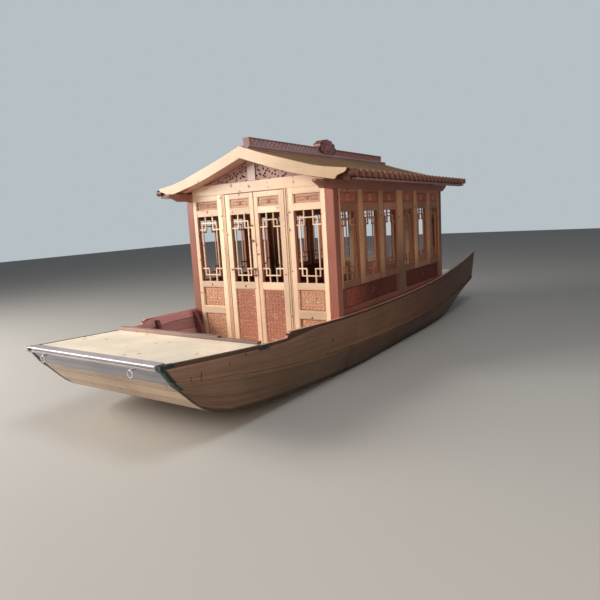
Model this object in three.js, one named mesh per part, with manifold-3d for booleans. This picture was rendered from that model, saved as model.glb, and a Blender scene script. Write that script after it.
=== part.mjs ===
// Wooden pleasure boat with a flat bottom, a lattice-windowed cabin and a curved gable roof.
// Millimetres. +X is the bow, +Y is port, +Z is up. The origin is on the floor, under the
// centre of the whole boat's box.
import * as THREE from 'three';
import { mergeVertices } from 'three/addons/utils/BufferGeometryUtils.js';
import Module from 'manifold-3d';

const wasm = await Module();
wasm.setup();

// Driving dimensions of the hull
const UPPER_PLANK = 35;
const LOWER_PROUD = 12;
const LOWER_PLANK = UPPER_PLANK + LOWER_PROUD;
const BOTTOM_PLANK = 45;
const DECK_PLANK = 32;
const SOLE_TOP = 210;
const SOLE_PLANK = 28;
const FIT_GAP = 0.5;
const EDGE_GAP = 0.7;
const LOOSE_GAP = 6;
const RAKED_X = 2800;
const RAKED_GAP = 3;
const BULWARK_RISE = 50;
const STEP_FRONT_X = 2254;
const STEP_BACK_X = 2185;
const BOW_DECK_AFT_X = 2500;
const STERN_DECK_FORE_X = -2250;
const STERN_DECK_Z = 548;
const TRANSOM_TOP_Z = 655;
const CAP_AFT_X = 3421;
const CAP_TOP_Z = 687;
const CAP_FRONT_X = 3509;

// Driving dimensions of the cabin
const CABIN_FRONT_X = 1410;
const CABIN_AFT_X = -1560;
const CABIN_HALF = 950;
const POST = 95;
const MID_POST_X = [-208, -61];
const WALL_THICK = 45;
const DOOR_THICK = 36;
const DOOR_SETBACK = 2;
const DOOR_GAP = 5;
const DOOR_OUTER = 381;
const BAY_INNER = 389;
const DOOR_BOTTOM_Z = 218;
const DOOR_TOP_Z = 1874;
const LINTEL_BOTTOM_Z = 1880;
const LINTEL_TOP_Z = 1990;
const SILL_BOTTOM_Z = 540;
const SILL_TOP_Z = 600;
const PLATE_BOTTOM_Z = 1839;
const PLATE_TOP_Z = 1919;
const WINDOW_BOTTOM_Z = 946;
const END_WINDOW_TOP_Z = 1659;
const SIDE_WINDOW_TOP_Z = 1619;
const BAR = 13;
const LATTICE_THICK = 18;
const RECESS = 10;

// Driving dimensions of the roof
const ROOF_FRONT_X = 1577;
const ROOF_AFT_X = -1717;
const BARGE_THICK = 45;
const ROOF_DROP = 8;
const ROOF_THICK = 100;
const EAVE_HALF = 1191;
const TILE_REACH = 75;
const TILE_PITCH = 126;
const RIDGE_Z = [2325, 2413];
const RIDGE_X = [-1615, 1445];
const CREST_X = -70;

// Hull lines from bow to stern. Each row is a section, and its columns are the X, the
// half-breadth and the height of the sheer, of the knuckle and of the chine.
const HULL_ROWS = [
  // sheerX knuckleX chineX  sheerY knuckleY chineY  sheerZ knuckleZ chineZ
  [3505, 3415, 3385, 788, 794, 796, 681, 551, 515],
  [3390, 3325, 3300, 802, 808, 808, 673, 530, 425],
  [3240, 3205, 3190, 820, 823, 820, 662, 507, 312],
  [3080, 3080, 3080, 838, 838, 830, 650, 482, 236],
  [2900, 2900, 2900, 857, 854, 838, 637, 456, 176],
  [2553, 2553, 2553, 893, 884, 846, 614, 405, 128],
  [2254, 2254, 2254, 922, 904, 850, 605, 369, 98],
  [1850, 1850, 1850, 958, 926, 853, 590, 331, 68],
  [1410, 1410, 1410, 988, 941, 855, 576, 302, 40],
  [800, 800, 800, 998, 948, 855, 566, 272, 0],
  [0, 0, 0, 1000, 950, 855, 566, 244, 0],
  [-700, -700, -700, 1000, 950, 855, 582, 238, 0],
  [-1350, -1350, -1350, 992, 945, 853, 612, 256, 0],
  [-1800, -1800, -1800, 982, 935, 850, 649, 285, 24],
  [-2250, -2250, -2250, 962, 916, 842, 688, 318, 112],
  [-2700, -2700, -2700, 932, 892, 832, 728, 350, 224],
  [-3120, -3085, -3080, 893, 866, 826, 764, 388, 312],
  [-3530, -3405, -3390, 850, 838, 832, 800, 436, 382],
];
const SPAN_STEPS = 2;

// Colours of the timbers and the metal
const COLOURS = {
  pine: [0xe3bd8c, 0.45, 0],
  fir: [0xe2c48d, 0.5, 0],
  red: [0x8c4a3a, 0.4, 0],
  brown: [0x5b3f2c, 0.35, 0],
  strake: [0x8a5a34, 0.35, 0],
  transom: [0x7b6656, 0.4, 0],
  cap: [0xb9aebb, 0.25, 0],
  side: [0x8e5c3b, 0.4, 0],
  iron: [0x27302e, 0.45, 0.8],
};

const boat = new THREE.Group();

function addMesh(parent, name, geometry, colour) {
  const [hex, roughness, metalness] = COLOURS[colour];
  const material = new THREE.MeshStandardMaterial({ color: hex, roughness, metalness });
  const mesh = new THREE.Mesh(geometry, material);
  mesh.name = name;
  parent.add(mesh);
  return mesh;
}

// Solids and booleans
function toSolid(geometry) {
  const bare = geometry.clone();
  bare.deleteAttribute('normal');
  bare.deleteAttribute('uv');
  const merged = mergeVertices(bare, 1e-4);
  const vertProperties = new Float32Array(merged.attributes.position.array);
  const triVerts = new Uint32Array(merged.index.array);
  return new wasm.Manifold(new wasm.Mesh({ numProp: 3, vertProperties, triVerts }));
}

function toGeometry(solid) {
  const mesh = solid.getMesh();
  const geometry = new THREE.BufferGeometry();
  geometry.setAttribute('position', new THREE.BufferAttribute(mesh.vertProperties, 3));
  geometry.setIndex(new THREE.BufferAttribute(mesh.triVerts, 1));
  return geometry;
}

function joined(geometries) {
  const [first, ...rest] = geometries.map(toSolid);
  return toGeometry(rest.reduce((sum, next) => sum.add(next), first));
}

function cut(geometry, cutters) {
  return toGeometry(cutters.map(toSolid).reduce((left, next) => left.subtract(next), toSolid(geometry)));
}

function box(x, y, z) {
  const geometry = new THREE.BoxGeometry(x[1] - x[0], y[1] - y[0], z[1] - z[0]);
  return geometry.translate((x[0] + x[1]) / 2, (y[0] + y[1]) / 2, (z[0] + z[1]) / 2);
}

function plate(outline, depth) {
  const shape = new THREE.Shape(outline.map(([a, b]) => new THREE.Vector2(a, b)));
  return new THREE.ExtrudeGeometry(shape, { depth, bevelEnabled: false });
}

// A plate of an outline in Y and Z, from one X to another
function alongX(outline, x) {
  const turn = new THREE.Matrix4().makeBasis(
    new THREE.Vector3(0, 1, 0),
    new THREE.Vector3(0, 0, 1),
    new THREE.Vector3(1, 0, 0),
  );
  return plate(outline, x[1] - x[0]).applyMatrix4(turn).translate(x[0], 0, 0);
}

// A plate of an outline in X and Z, from one Y to another
function alongY(outline, y) {
  const turn = new THREE.Matrix4().makeBasis(
    new THREE.Vector3(1, 0, 0),
    new THREE.Vector3(0, 0, 1),
    new THREE.Vector3(0, -1, 0),
  );
  return plate(outline, y[1] - y[0]).applyMatrix4(turn).translate(0, y[1], 0);
}

// A plate of an outline in X and Y, from one Z to another
function alongZ(outline, z) {
  return plate(outline, z[1] - z[0]).translate(0, 0, z[0]);
}

// A closed body between two like loops of points, with flat ends triangulated in a plane
function bridge(loopA, loopB, plane) {
  const count = loopA.length;
  const flat = loopA.map((point) => new THREE.Vector2(point[plane[0]], point[plane[1]]));
  const positions = [...loopA, ...loopB].flat();
  const indices = [];
  for (const [a, b, c] of THREE.ShapeUtils.triangulateShape(flat, [])) {
    indices.push(a, b, c, a + count, c + count, b + count);
  }
  const clockwise = THREE.ShapeUtils.isClockWise(flat);
  for (let i = 0; i < count; i += 1) {
    const j = (i + 1) % count;
    const quad = [i, i + count, j + count, j];
    const [p, q, r, s] = clockwise ? [...quad].reverse() : quad;
    indices.push(p, q, r, p, r, s);
  }
  return facingOut(positions, indices);
}

// A closed body through a row of sections that each have the same corners
function loft(sections) {
  const size = sections[0].length;
  const positions = sections.flat(2);
  const indices = [];
  for (let k = 0; k < sections.length - 1; k += 1) {
    for (let i = 0; i < size; i += 1) {
      const j = (i + 1) % size;
      const a = k * size + i;
      const b = k * size + j;
      indices.push(a, b, b + size, a, b + size, a + size);
    }
  }
  const last = (sections.length - 1) * size;
  for (let i = 1; i < size - 1; i += 1) {
    indices.push(0, i + 1, i, last, last + i, last + i + 1);
  }
  return facingOut(positions, indices);
}

function facingOut(positions, indices) {
  let volume = 0;
  const corner = (i) => new THREE.Vector3().fromArray(positions, indices[i] * 3);
  for (let i = 0; i < indices.length; i += 3) {
    volume += corner(i).dot(corner(i + 1).cross(corner(i + 2)));
  }
  const order = volume < 0 ? [...indices].reverse() : indices;
  const geometry = new THREE.BufferGeometry();
  geometry.setAttribute('position', new THREE.Float32BufferAttribute(positions, 3));
  geometry.setIndex(order);
  return geometry;
}

function mirroredY(outline) {
  return outline.map(([a, b]) => [-a, b]);
}

// Hull form. Every column is a smooth function of the sheer's X, sampled at the stations, and
// pieces between two stations follow the same straight chords as the planks do.
function slopeAt(i, column) {
  const rise = (a, b) => (HULL_ROWS[b][column] - HULL_ROWS[a][column]) / (HULL_ROWS[b][0] - HULL_ROWS[a][0]);
  if (i === 0) return rise(0, 1);
  if (i === HULL_ROWS.length - 1) return rise(i - 1, i);
  const before = HULL_ROWS[i - 1][0] - HULL_ROWS[i][0];
  const after = HULL_ROWS[i][0] - HULL_ROWS[i + 1][0];
  return (rise(i - 1, i) * after + rise(i, i + 1) * before) / (before + after);
}

function fairRow(s) {
  const found = HULL_ROWS.findIndex((row) => row[0] <= s);
  const i = Math.max(found - 1, 0);
  const [here, next] = [HULL_ROWS[i], HULL_ROWS[i + 1]];
  const width = next[0] - here[0];
  const t = (s - here[0]) / width;
  return here.map((value, column) => {
    const h00 = (1 + 2 * t) * (1 - t) ** 2;
    const h10 = t * (1 - t) ** 2;
    const h01 = t * t * (3 - 2 * t);
    const h11 = t * t * (t - 1);
    const tangents = h10 * slopeAt(i, column) + h11 * slopeAt(i + 1, column);
    return Math.max(h00 * value + h01 * next[column] + tangents * width, column < 3 ? -Infinity : 0);
  });
}

function bulwarkRise(x) {
  const t = THREE.MathUtils.clamp((STEP_FRONT_X - x) / (STEP_FRONT_X - STEP_BACK_X), 0, 1);
  return BULWARK_RISE * t * t * (3 - 2 * t);
}

function stationList() {
  const list = [];
  for (let i = 0; i < HULL_ROWS.length - 1; i += 1) {
    for (let k = 0; k < SPAN_STEPS; k += 1) {
      list.push(THREE.MathUtils.lerp(HULL_ROWS[i][0], HULL_ROWS[i + 1][0], k / SPAN_STEPS));
    }
  }
  const scroll = [0.2, 0.4, 0.6, 0.8, 1].map((t) => THREE.MathUtils.lerp(STEP_FRONT_X, STEP_BACK_X, t));
  list.push(...scroll, HULL_ROWS.at(-1)[0]);
  return list.sort((a, b) => b - a);
}

const STATIONS = stationList();
const SECTIONS = STATIONS.map((s) => {
  const [sheerX, knuckleX, chineX, sheerY, knuckleY, chineY, sheerZ, knuckleZ, chineZ] = fairRow(s);
  return {
    sheer: [sheerX, sheerY, sheerZ + bulwarkRise(sheerX)],
    knuckle: [knuckleX, knuckleY, knuckleZ],
    chine: [chineX, chineY, chineZ],
  };
});

function blend(a, b, t) {
  return a.map((value, k) => value + (b[k] - value) * t);
}

function sectionAt(s) {
  const inside = THREE.MathUtils.clamp(s, STATIONS.at(-1), STATIONS[0]);
  const i = Math.max(STATIONS.findIndex((station) => station <= inside) - 1, 0);
  const t = (STATIONS[i] - inside) / (STATIONS[i] - STATIONS[i + 1]);
  const [here, next] = [SECTIONS[i], SECTIONS[i + 1]];
  return {
    sheer: blend(here.sheer, next.sheer, t),
    knuckle: blend(here.knuckle, next.knuckle, t),
    chine: blend(here.chine, next.chine, t),
  };
}

// The plank that passes through a given X and Z: its low and high edges, and how far up it is
function plankAt(x, z) {
  let s = x;
  let found;
  for (let turn = 0; turn < 8; turn += 1) {
    const { sheer, knuckle, chine } = sectionAt(s);
    const upper = z >= knuckle[2];
    const [low, high] = upper ? [knuckle, sheer] : [chine, knuckle];
    const t = Math.max((z - low[2]) / (high[2] - low[2]), 0);
    found = { upper, low: low[1], high: high[1], t };
    s += x - THREE.MathUtils.lerp(low[0], high[0], t);
  }
  return found;
}

function outerHalf(x, z) {
  const { upper, low, high, t } = plankAt(x, z);
  return THREE.MathUtils.lerp(low, high + (upper ? 0 : LOWER_PROUD), t);
}

function innerHalf(x, z) {
  const { upper, low, high, t } = plankAt(x, z);
  return THREE.MathUtils.lerp(low - (upper ? UPPER_PLANK : LOWER_PLANK), high - UPPER_PLANK, t);
}

function stationsWithin(fore, aft) {
  return [fore, ...STATIONS.filter((s) => s < fore - 1 && s > aft + 1), aft];
}

// A piece that fills the hull from side to side, from its outline in X and Z
function acrossHull(profile, gap = LOOSE_GAP) {
  const halves = profile.map(([x, z, ownGap]) => innerHalf(x, z) - (ownGap ?? gap));
  const port = profile.map(([x, z], i) => [x, halves[i], z]);
  const starboard = profile.map(([x, z], i) => [x, -halves[i], z]);
  return bridge(port, starboard, [0, 2]);
}

// Hull planking. The lower strake is three planks butted end to end
const FORE_BUTT_X = 1200;
const AFT_BUTT_X = -1300;
const BUTT_GAP = 0.6;
const LOWER_RUNS = {
  fore: [STATIONS[0], FORE_BUTT_X + BUTT_GAP / 2],
  mid: [FORE_BUTT_X - BUTT_GAP / 2, AFT_BUTT_X + BUTT_GAP / 2],
  aft: [AFT_BUTT_X - BUTT_GAP / 2, STATIONS.at(-1)],
};
function lowerPlank(side, [fore, aft]) {
  return loft(stationsWithin(fore, aft).map(sectionAt).map(({ knuckle, chine }) => [
    [chine[0], side * chine[1], chine[2]],
    [knuckle[0], side * (knuckle[1] + LOWER_PROUD), knuckle[2]],
    [knuckle[0], side * (knuckle[1] - UPPER_PLANK), knuckle[2]],
    [chine[0], side * (chine[1] - LOWER_PLANK), chine[2]],
  ]));
}

function upperStrake(side) {
  return loft(SECTIONS.map(({ sheer, knuckle }) => [
    [knuckle[0], side * knuckle[1], knuckle[2] + FIT_GAP],
    [sheer[0], side * sheer[1], sheer[2]],
    [sheer[0], side * (sheer[1] - UPPER_PLANK), sheer[2]],
    [knuckle[0], side * (knuckle[1] - UPPER_PLANK), knuckle[2] + FIT_GAP],
  ]));
}

// The bottom's outer line, with the raked bow end before it and the stern end after it
const BOW_TOP = [SECTIONS[0].sheer[0], SECTIONS[0].sheer[2]];
const STERN_EDGE = [SECTIONS.at(-1).knuckle, SECTIONS.at(-1).sheer];
const STERN_TOP = [skinEdgeX(STERN_DECK_Z), STERN_DECK_Z];
const KEEL = SECTIONS.filter((_, i) => !isScroll(STATIONS[i])).map(({ chine }) => [chine[0], chine[2]]);
const HULL_PROFILE = [BOW_TOP, ...KEEL, STERN_TOP];

function isScroll(s) {
  return s < STEP_FRONT_X && s >= STEP_BACK_X;
}

function skinEdgeX(z) {
  const [low, high] = STERN_EDGE;
  return THREE.MathUtils.mapLinear(z, low[2], high[2], low[0], high[0]);
}

function inward(i, depth) {
  const normal = (a, b) => new THREE.Vector2(b[1] - a[1], a[0] - b[0]).normalize();
  const before = i > 0 ? normal(HULL_PROFILE[i - 1], HULL_PROFILE[i]) : null;
  const after = i < HULL_PROFILE.length - 1 ? normal(HULL_PROFILE[i], HULL_PROFILE[i + 1]) : null;
  const mean = (before ?? after).clone().add(after ?? before).normalize();
  const stretch = depth / mean.dot(before ?? after);
  return [HULL_PROFILE[i][0] + mean.x * stretch, HULL_PROFILE[i][1] + mean.y * stretch];
}

function bottomPlate() {
  const gapAt = (x) => (Math.abs(x) > RAKED_X ? RAKED_GAP : EDGE_GAP);
  const outer = HULL_PROFILE.slice(1, -1).map(([x, z]) => [x, z, gapAt(x)]);
  const inner = outer.map((_, k) => inward(k + 1, BOTTOM_PLANK)).reverse();
  return acrossHull([...outer, ...inner]);
}

function slide(from, to, z) {
  return [THREE.MathUtils.mapLinear(z, from[1], to[1], from[0], to[0]), z];
}

function bowTransom() {
  const foot = HULL_PROFILE[1];
  const heel = inward(1, BOTTOM_PLANK);
  const inside = inward(0, BOTTOM_PLANK);
  const lift = ([x, z]) => [x, z + FIT_GAP];
  return acrossHull([
    lift(foot),
    slide(foot, BOW_TOP, TRANSOM_TOP_Z),
    slide(heel, inside, TRANSOM_TOP_Z),
    lift(heel),
  ]);
}

function sternTransom() {
  const last = HULL_PROFILE.length - 1;
  const foot = HULL_PROFILE[last - 1];
  const heel = inward(last - 1, BOTTOM_PLANK);
  const inside = inward(last, BOTTOM_PLANK);
  const lift = ([x, z]) => [x, z + FIT_GAP];
  return acrossHull([
    lift(foot),
    STERN_TOP,
    slide(heel, inside, STERN_DECK_Z),
    lift(heel),
  ]);
}

function deckPlate(fore, aft, topAt, thick, edgeGap = LOOSE_GAP) {
  const xs = stationsWithin(fore, aft);
  const top = xs.map((x) => [x, topAt(x), edgeGap]);
  const under = xs.map((x) => [x, topAt(x) - thick]).reverse();
  return acrossHull([...top, ...under]);
}

function hullGroup() {
  const hull = new THREE.Group();
  const deckLine = (x) => sectionAt(x).sheer[2] - bulwarkRise(x);
  addMesh(hull, 'hull_bottom', bottomPlate(), 'fir');
  for (const [side, word] of [[1, 'port'], [-1, 'starboard']]) {
    for (const [run, span] of Object.entries(LOWER_RUNS)) {
      addMesh(hull, `lower_strake_${run}_${word}`, lowerPlank(side, span), 'strake');
    }
    addMesh(hull, `upper_strake_${word}`, upperStrake(side), 'brown');
    addMesh(hull, `corner_strap_${word}`, cornerStrap(side), 'iron');
    addMesh(hull, `sheer_clip_${word}`, sheerClip(side), 'iron');
    addMesh(hull, `mooring_ring_${word}`, mooringRing(side), 'iron');
  }
  addMesh(hull, 'bow_transom', bowTransom(), 'transom');
  addMesh(hull, 'stern_transom', sternTransom(), 'transom');
  addMesh(hull, 'bow_cap', bowCap(), 'cap');
  const bowEnds = [CAP_AFT_X - FIT_GAP, BOW_DECK_AFT_X];
  addMesh(hull, 'bow_deck', deckPlate(...bowEnds, deckLine, DECK_PLANK, EDGE_GAP), 'fir');
  addMesh(hull, 'deck_coaming', deckCoaming(), 'pine');
  addMesh(hull, 'well_bulkhead', bulkhead(BOW_DECK_AFT_X, deckLine(BOW_DECK_AFT_X) - DECK_PLANK), 'red');
  const sternEnds = [STERN_DECK_FORE_X, sternDeckAft()];
  addMesh(hull, 'stern_deck', deckPlate(...sternEnds, () => STERN_DECK_Z, DECK_PLANK), 'fir');
  addMesh(hull, 'stern_bulkhead', bulkhead(STERN_DECK_FORE_X - BULKHEAD, STERN_DECK_Z - DECK_PLANK), 'red');
  const soleEnds = [BOW_DECK_AFT_X - FIT_GAP, STERN_DECK_FORE_X + FIT_GAP];
  addMesh(hull, 'sole', deckPlate(...soleEnds, () => SOLE_TOP, SOLE_PLANK), 'pine');
  return hull;
}

function bowCap() {
  return acrossHull([
    [CAP_AFT_X, TRANSOM_TOP_Z + FIT_GAP],
    slide(HULL_PROFILE[1], BOW_TOP, TRANSOM_TOP_Z + FIT_GAP),
    [CAP_FRONT_X, CAP_TOP_Z],
    [CAP_AFT_X, CAP_TOP_Z],
  ]);
}

function sternDeckAft() {
  const last = HULL_PROFILE.length - 1;
  const heel = inward(last - 1, BOTTOM_PLANK);
  const inside = inward(last, BOTTOM_PLANK);
  return slide(heel, inside, STERN_DECK_Z - DECK_PLANK)[0] + 1;
}

// Low rail on the bow deck's aft edge, thinner on its port end
const COAMING_X = [BOW_DECK_AFT_X, BOW_DECK_AFT_X + 53];
const COAMING_JOINT_Y = 430;
const COAMING_HIGH = 30;
const COAMING_LOW = 20;
function deckCoaming() {
  const base = sectionAt(COAMING_X[1]).sheer[2] + FIT_GAP;
  const half = innerHalf(COAMING_X[1], base) - LOOSE_GAP;
  return alongX([
    [-half, base],
    [half, base],
    [half, base + COAMING_LOW],
    [COAMING_JOINT_Y, base + COAMING_LOW],
    [COAMING_JOINT_Y, base + COAMING_HIGH],
    [-half, base + COAMING_HIGH],
  ], COAMING_X);
}

// Cross wall under a deck's edge, down to the bottom planks
const BULKHEAD = 30;
function bulkhead(aftX, underDeckZ) {
  const xs = [aftX, aftX + BULKHEAD];
  const plankZ = (x) => BOTTOM_PLANK / Math.cos(Math.atan(bottomSlope(x)));
  const floorAt = (x) => sectionAt(x).chine[2] + plankZ(x) + EDGE_GAP;
  const knuckleZ = (x) => sectionAt(x).knuckle[2];
  const top = underDeckZ - FIT_GAP;
  return acrossHull([
    [xs[0], floorAt(xs[0])],
    [xs[1], floorAt(xs[1])],
    [xs[1], knuckleZ(xs[1])],
    [xs[1], top],
    [xs[0], top],
    [xs[0], knuckleZ(xs[0])],
  ]);
}

function bottomSlope(x) {
  const reach = 60;
  return (sectionAt(x + reach).chine[2] - sectionAt(x - reach).chine[2]) / (2 * reach);
}

// Thin metal on the planking's outer face, from an outline in X and Z
function onSkin(outline, side, off, thick) {
  const layer = (depth) => outline.map(([x, z]) => [x, side * (outerHalf(x, z) + depth), z]);
  return bridge(layer(off), layer(off + thick), [0, 2]);
}

const STRAP_WIDTH = 52;
const STRAP_THICK = 4;
const STRAP_LEG_X = 3330;
const STRAP_LEG_DROP = 34;
const STRAP_FOOT_RISE = 12;
const STRAP_CORNER = [82, 40];
const STRAP_INSET = 1;
function cornerStrap(side) {
  const [edgeLow, edgeHigh] = [SECTIONS[0].knuckle, SECTIONS[0].sheer];
  const low = [edgeLow[0] - STRAP_INSET, edgeLow[2] + STRAP_FOOT_RISE];
  const high = [edgeHigh[0] - STRAP_INSET, edgeHigh[2] - STRAP_INSET];
  const legZ = sectionAt(STRAP_LEG_X).sheer[2] - STRAP_INSET;
  return onSkin([
    [low[0] - STRAP_WIDTH, low[1]],
    low,
    high,
    [STRAP_LEG_X, legZ],
    [STRAP_LEG_X, legZ - STRAP_LEG_DROP],
    [high[0] - STRAP_CORNER[0], high[1] - STRAP_CORNER[1]],
  ], side, FIT_GAP, STRAP_THICK);
}

const CLIP_X = [2468, 2584];
const CLIP_DROP = 36;
function sheerClip(side) {
  const topAt = (x) => sectionAt(x).sheer[2] - STRAP_INSET;
  return onSkin([
    [CLIP_X[0], topAt(CLIP_X[0]) - CLIP_DROP],
    [CLIP_X[1], topAt(CLIP_X[1]) - CLIP_DROP],
    [CLIP_X[1], topAt(CLIP_X[1])],
    [CLIP_X[0], topAt(CLIP_X[0])],
  ], side, FIT_GAP, STRAP_THICK);
}

// Eye plate on the bow transom with a fixed ring hanging in it
const RING_Y = 523;
const RING_Z = 632;
const RING_RADIUS = 30;
const RING_BAR = 5;
const EYE_HALF = 9;
const RING_FRONT_X = 3530;
function mooringRing(side) {
  const face = slide(HULL_PROFILE[1], BOW_TOP, RING_Z + EYE_HALF)[0] + FIT_GAP;
  const centreX = RING_FRONT_X - RING_BAR * Math.sin(Math.PI / 3);
  const ring = new THREE.TorusGeometry(RING_RADIUS, RING_BAR, 6, 16).rotateY(Math.PI / 2);
  ring.translate(centreX, side * RING_Y, RING_Z - RING_RADIUS);
  const about = (middle) => [middle - EYE_HALF, middle + EYE_HALF];
  return joined([ring, box([face, centreX], about(side * RING_Y), about(RING_Z))]);
}

// Lattice of one window: where its bars run, as fractions of the window's width and height
const LATTICE_BARS = [
  // u from, u to, v from, v to: a bar is as thin as it can be across its length
  [0.14, 0.14, 0.1, 0.9],
  [0.86, 0.86, 0.1, 0.9],
  [0.14, 0.86, 0.1, 0.1],
  [0.14, 0.86, 0.9, 0.9],
  [0, 0.32, 0.2, 0.2],
  [0.68, 1, 0.2, 0.2],
  [0, 0.32, 0.8, 0.8],
  [0.68, 1, 0.8, 0.8],
  [0.32, 0.32, 0, 0.2],
  [0.68, 0.68, 0, 0.2],
  [0.32, 0.32, 0.8, 1],
  [0.68, 0.68, 0.8, 1],
];

// A wall panel that stands with its outer face on local Y = 0 and its thickness behind it
const LATTICE_LAP = 4;
function latticeBars({ u, v }, depth) {
  const place = (range, from, to) => {
    const a = THREE.MathUtils.lerp(range[0], range[1], from) - (from === 0 ? LATTICE_LAP : BAR / 2);
    const b = THREE.MathUtils.lerp(range[0], range[1], to) + (to === 1 ? LATTICE_LAP : BAR / 2);
    return [a, b];
  };
  return LATTICE_BARS.map(([u0, u1, v0, v1]) => box(place(u, u0, u1), depth, place(v, v0, v1)));
}

function wallPanel({ u, v, thick, windows = [], recesses = [], battens = [], proud = 0 }) {
  const slab = cut(box(u, [proud, thick], v), windows.map((w) => box(w.u, [proud - 1, thick + 1], w.v)));
  const middle = (proud + thick - LATTICE_THICK) / 2;
  const bars = windows.flatMap((w) => latticeBars(w, [middle, middle + LATTICE_THICK]));
  const posts = battens.map((range) => box(range, [0, thick / 2], v));
  const whole = joined([slab, ...bars, ...posts]);
  return cut(whole, recesses.map((r) => box(r.u, [proud - 1, proud + RECESS], r.v)));
}

// One end of the cabin, seen from outside: u runs to the right hand, 0 at the centre
const TOP_PANEL_Z = [1720, 1825];
const END_BAY_WINDOW_U = [505, 794];
const END_BAY_PANEL_U = [490, 807];
const END_BAY_PANELS_Z = [TOP_PANEL_Z, [663, 886], [290, 590]];
const END_BAY_GROOVES_U = [[408, 414], [426, 432]];
const END_BAY_GROOVE_Z = [240, 1850];
function endBay(side) {
  const range = (a, b) => [Math.min(side * a, side * b), Math.max(side * a, side * b)];
  const outer = CABIN_HALF - POST - FIT_GAP;
  return wallPanel({
    u: range(BAY_INNER, outer),
    v: [SOLE_TOP + FIT_GAP, LINTEL_BOTTOM_Z - FIT_GAP],
    thick: WALL_THICK,
    windows: [{ u: range(...END_BAY_WINDOW_U), v: [WINDOW_BOTTOM_Z, END_WINDOW_TOP_Z] }],
    recesses: [
      ...END_BAY_PANELS_Z.map((v) => ({ u: range(...END_BAY_PANEL_U), v })),
      ...END_BAY_GROOVES_U.map((u) => ({ u: range(...u), v: END_BAY_GROOVE_Z })),
    ],
  });
}

const DOOR_WINDOW_U = [66, 310];
const DOOR_TOP_PANEL_U = [50, 320];
const DOOR_LOW_PANEL_U = [60, 330];
const DOOR_LOW_PANEL_Z = [300, 875];

// Pivot pins at the head and the foot of a leaf's outer stile, on the hinge's axis
const PIVOT_INSET = 6;
const PIVOT_RADIUS = 5;
const PIVOT_ROOT = 10;
const PIVOT_GAP = 0.3;
function pivotPins(side) {
  const spans = [
    [SOLE_TOP + PIVOT_GAP, DOOR_BOTTOM_Z + PIVOT_ROOT],
    [DOOR_TOP_Z - PIVOT_ROOT, LINTEL_BOTTOM_Z - PIVOT_GAP],
  ];
  return spans.map(([low, high]) => {
    const pin = new THREE.CylinderGeometry(PIVOT_RADIUS, PIVOT_RADIUS, high - low, 12).rotateX(Math.PI / 2);
    return pin.translate(side * (DOOR_OUTER - PIVOT_INSET), PIVOT_INSET, (low + high) / 2);
  });
}

function endDoor(side, withHandle) {
  const range = (a, b) => [Math.min(side * a, side * b), Math.max(side * a, side * b)];
  const leaf = wallPanel({
    u: range(DOOR_GAP, DOOR_OUTER),
    v: [DOOR_BOTTOM_Z, DOOR_TOP_Z],
    thick: DOOR_THICK,
    windows: [{ u: range(...DOOR_WINDOW_U), v: [WINDOW_BOTTOM_Z, END_WINDOW_TOP_Z] }],
    recesses: [
      { u: range(...DOOR_TOP_PANEL_U), v: TOP_PANEL_Z },
      { u: range(...DOOR_LOW_PANEL_U), v: DOOR_LOW_PANEL_Z },
    ],
  });
  return joined([leaf, ...pivotPins(side), ...(withHandle ? doorHandle(side) : [])]);
}

// Pull handle on the meeting stile: a grip on two short posts
const HANDLE_U = 34;
const HANDLE_Z = [960, 1110];
const HANDLE_STAND = 30;
const HANDLE_HALF = 7;
const HANDLE_OVER = 20;
function doorHandle(side) {
  const across = [side * HANDLE_U - HANDLE_HALF, side * HANDLE_U + HANDLE_HALF];
  const root = DOOR_THICK / 2;
  const posts = HANDLE_Z.map((z) => box(across, [-HANDLE_STAND, root], [z - HANDLE_HALF, z + HANDLE_HALF]));
  const gripZ = [HANDLE_Z[0] - HANDLE_OVER, HANDLE_Z[1] + HANDLE_OVER];
  return [...posts, box(across, [-HANDLE_STAND - HANDLE_HALF, -HANDLE_STAND + HANDLE_HALF], gripZ)];
}

// The cabin's wall towards the bow (facing 1) or towards the stern (facing -1)
function endWall(word, facing) {
  const wall = new THREE.Group();
  wall.position.x = facing > 0 ? CABIN_FRONT_X : CABIN_AFT_X;
  wall.rotation.z = (facing * Math.PI) / 2;
  for (const side of [1, -1]) {
    const hand = side * facing > 0 ? 'port' : 'starboard';
    addMesh(wall, `${word}_bay_${hand}`, endBay(side), 'pine');
    const door = addMesh(wall, `${word}_door_${hand}`, endDoor(side, hand === 'starboard'), 'pine');
    door.position.y = DOOR_SETBACK;
  }
  return wall;
}

// One long side of the cabin: posts, and a fore and an aft bay with three windows each
const SASH_MARGIN = 55;
const SIDE_BATTEN = 88;
const SIDE_THICK = 45;
const SIDE_PROUD = 6;
const SIDE_TOP_PANEL_Z = [1700, 1815];
const SIDE_LOW_PANEL_Z = [672, 880];
function sideBay(u) {
  const pitch = (u[1] - u[0] + SIDE_BATTEN) / 3;
  const fields = [0, 1, 2].map((k) => [u[0] + k * pitch, u[0] + k * pitch + pitch - SIDE_BATTEN]);
  const inset = ([a, b], by) => [a + by, b - by];
  return wallPanel({
    u,
    v: [SILL_TOP_Z + FIT_GAP, PLATE_BOTTOM_Z - FIT_GAP],
    thick: SIDE_THICK,
    proud: SIDE_PROUD,
    windows: fields.map((f) => ({ u: inset(f, SASH_MARGIN), v: [WINDOW_BOTTOM_Z, SIDE_WINDOW_TOP_Z] })),
    recesses: [
      ...fields.map((f) => ({ u: inset(f, SASH_MARGIN - 15), v: SIDE_TOP_PANEL_Z })),
      { u: inset(u, 60), v: SIDE_LOW_PANEL_Z },
    ],
    battens: fields.slice(1).map(([a]) => [a - SIDE_BATTEN, a]),
  });
}

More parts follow.
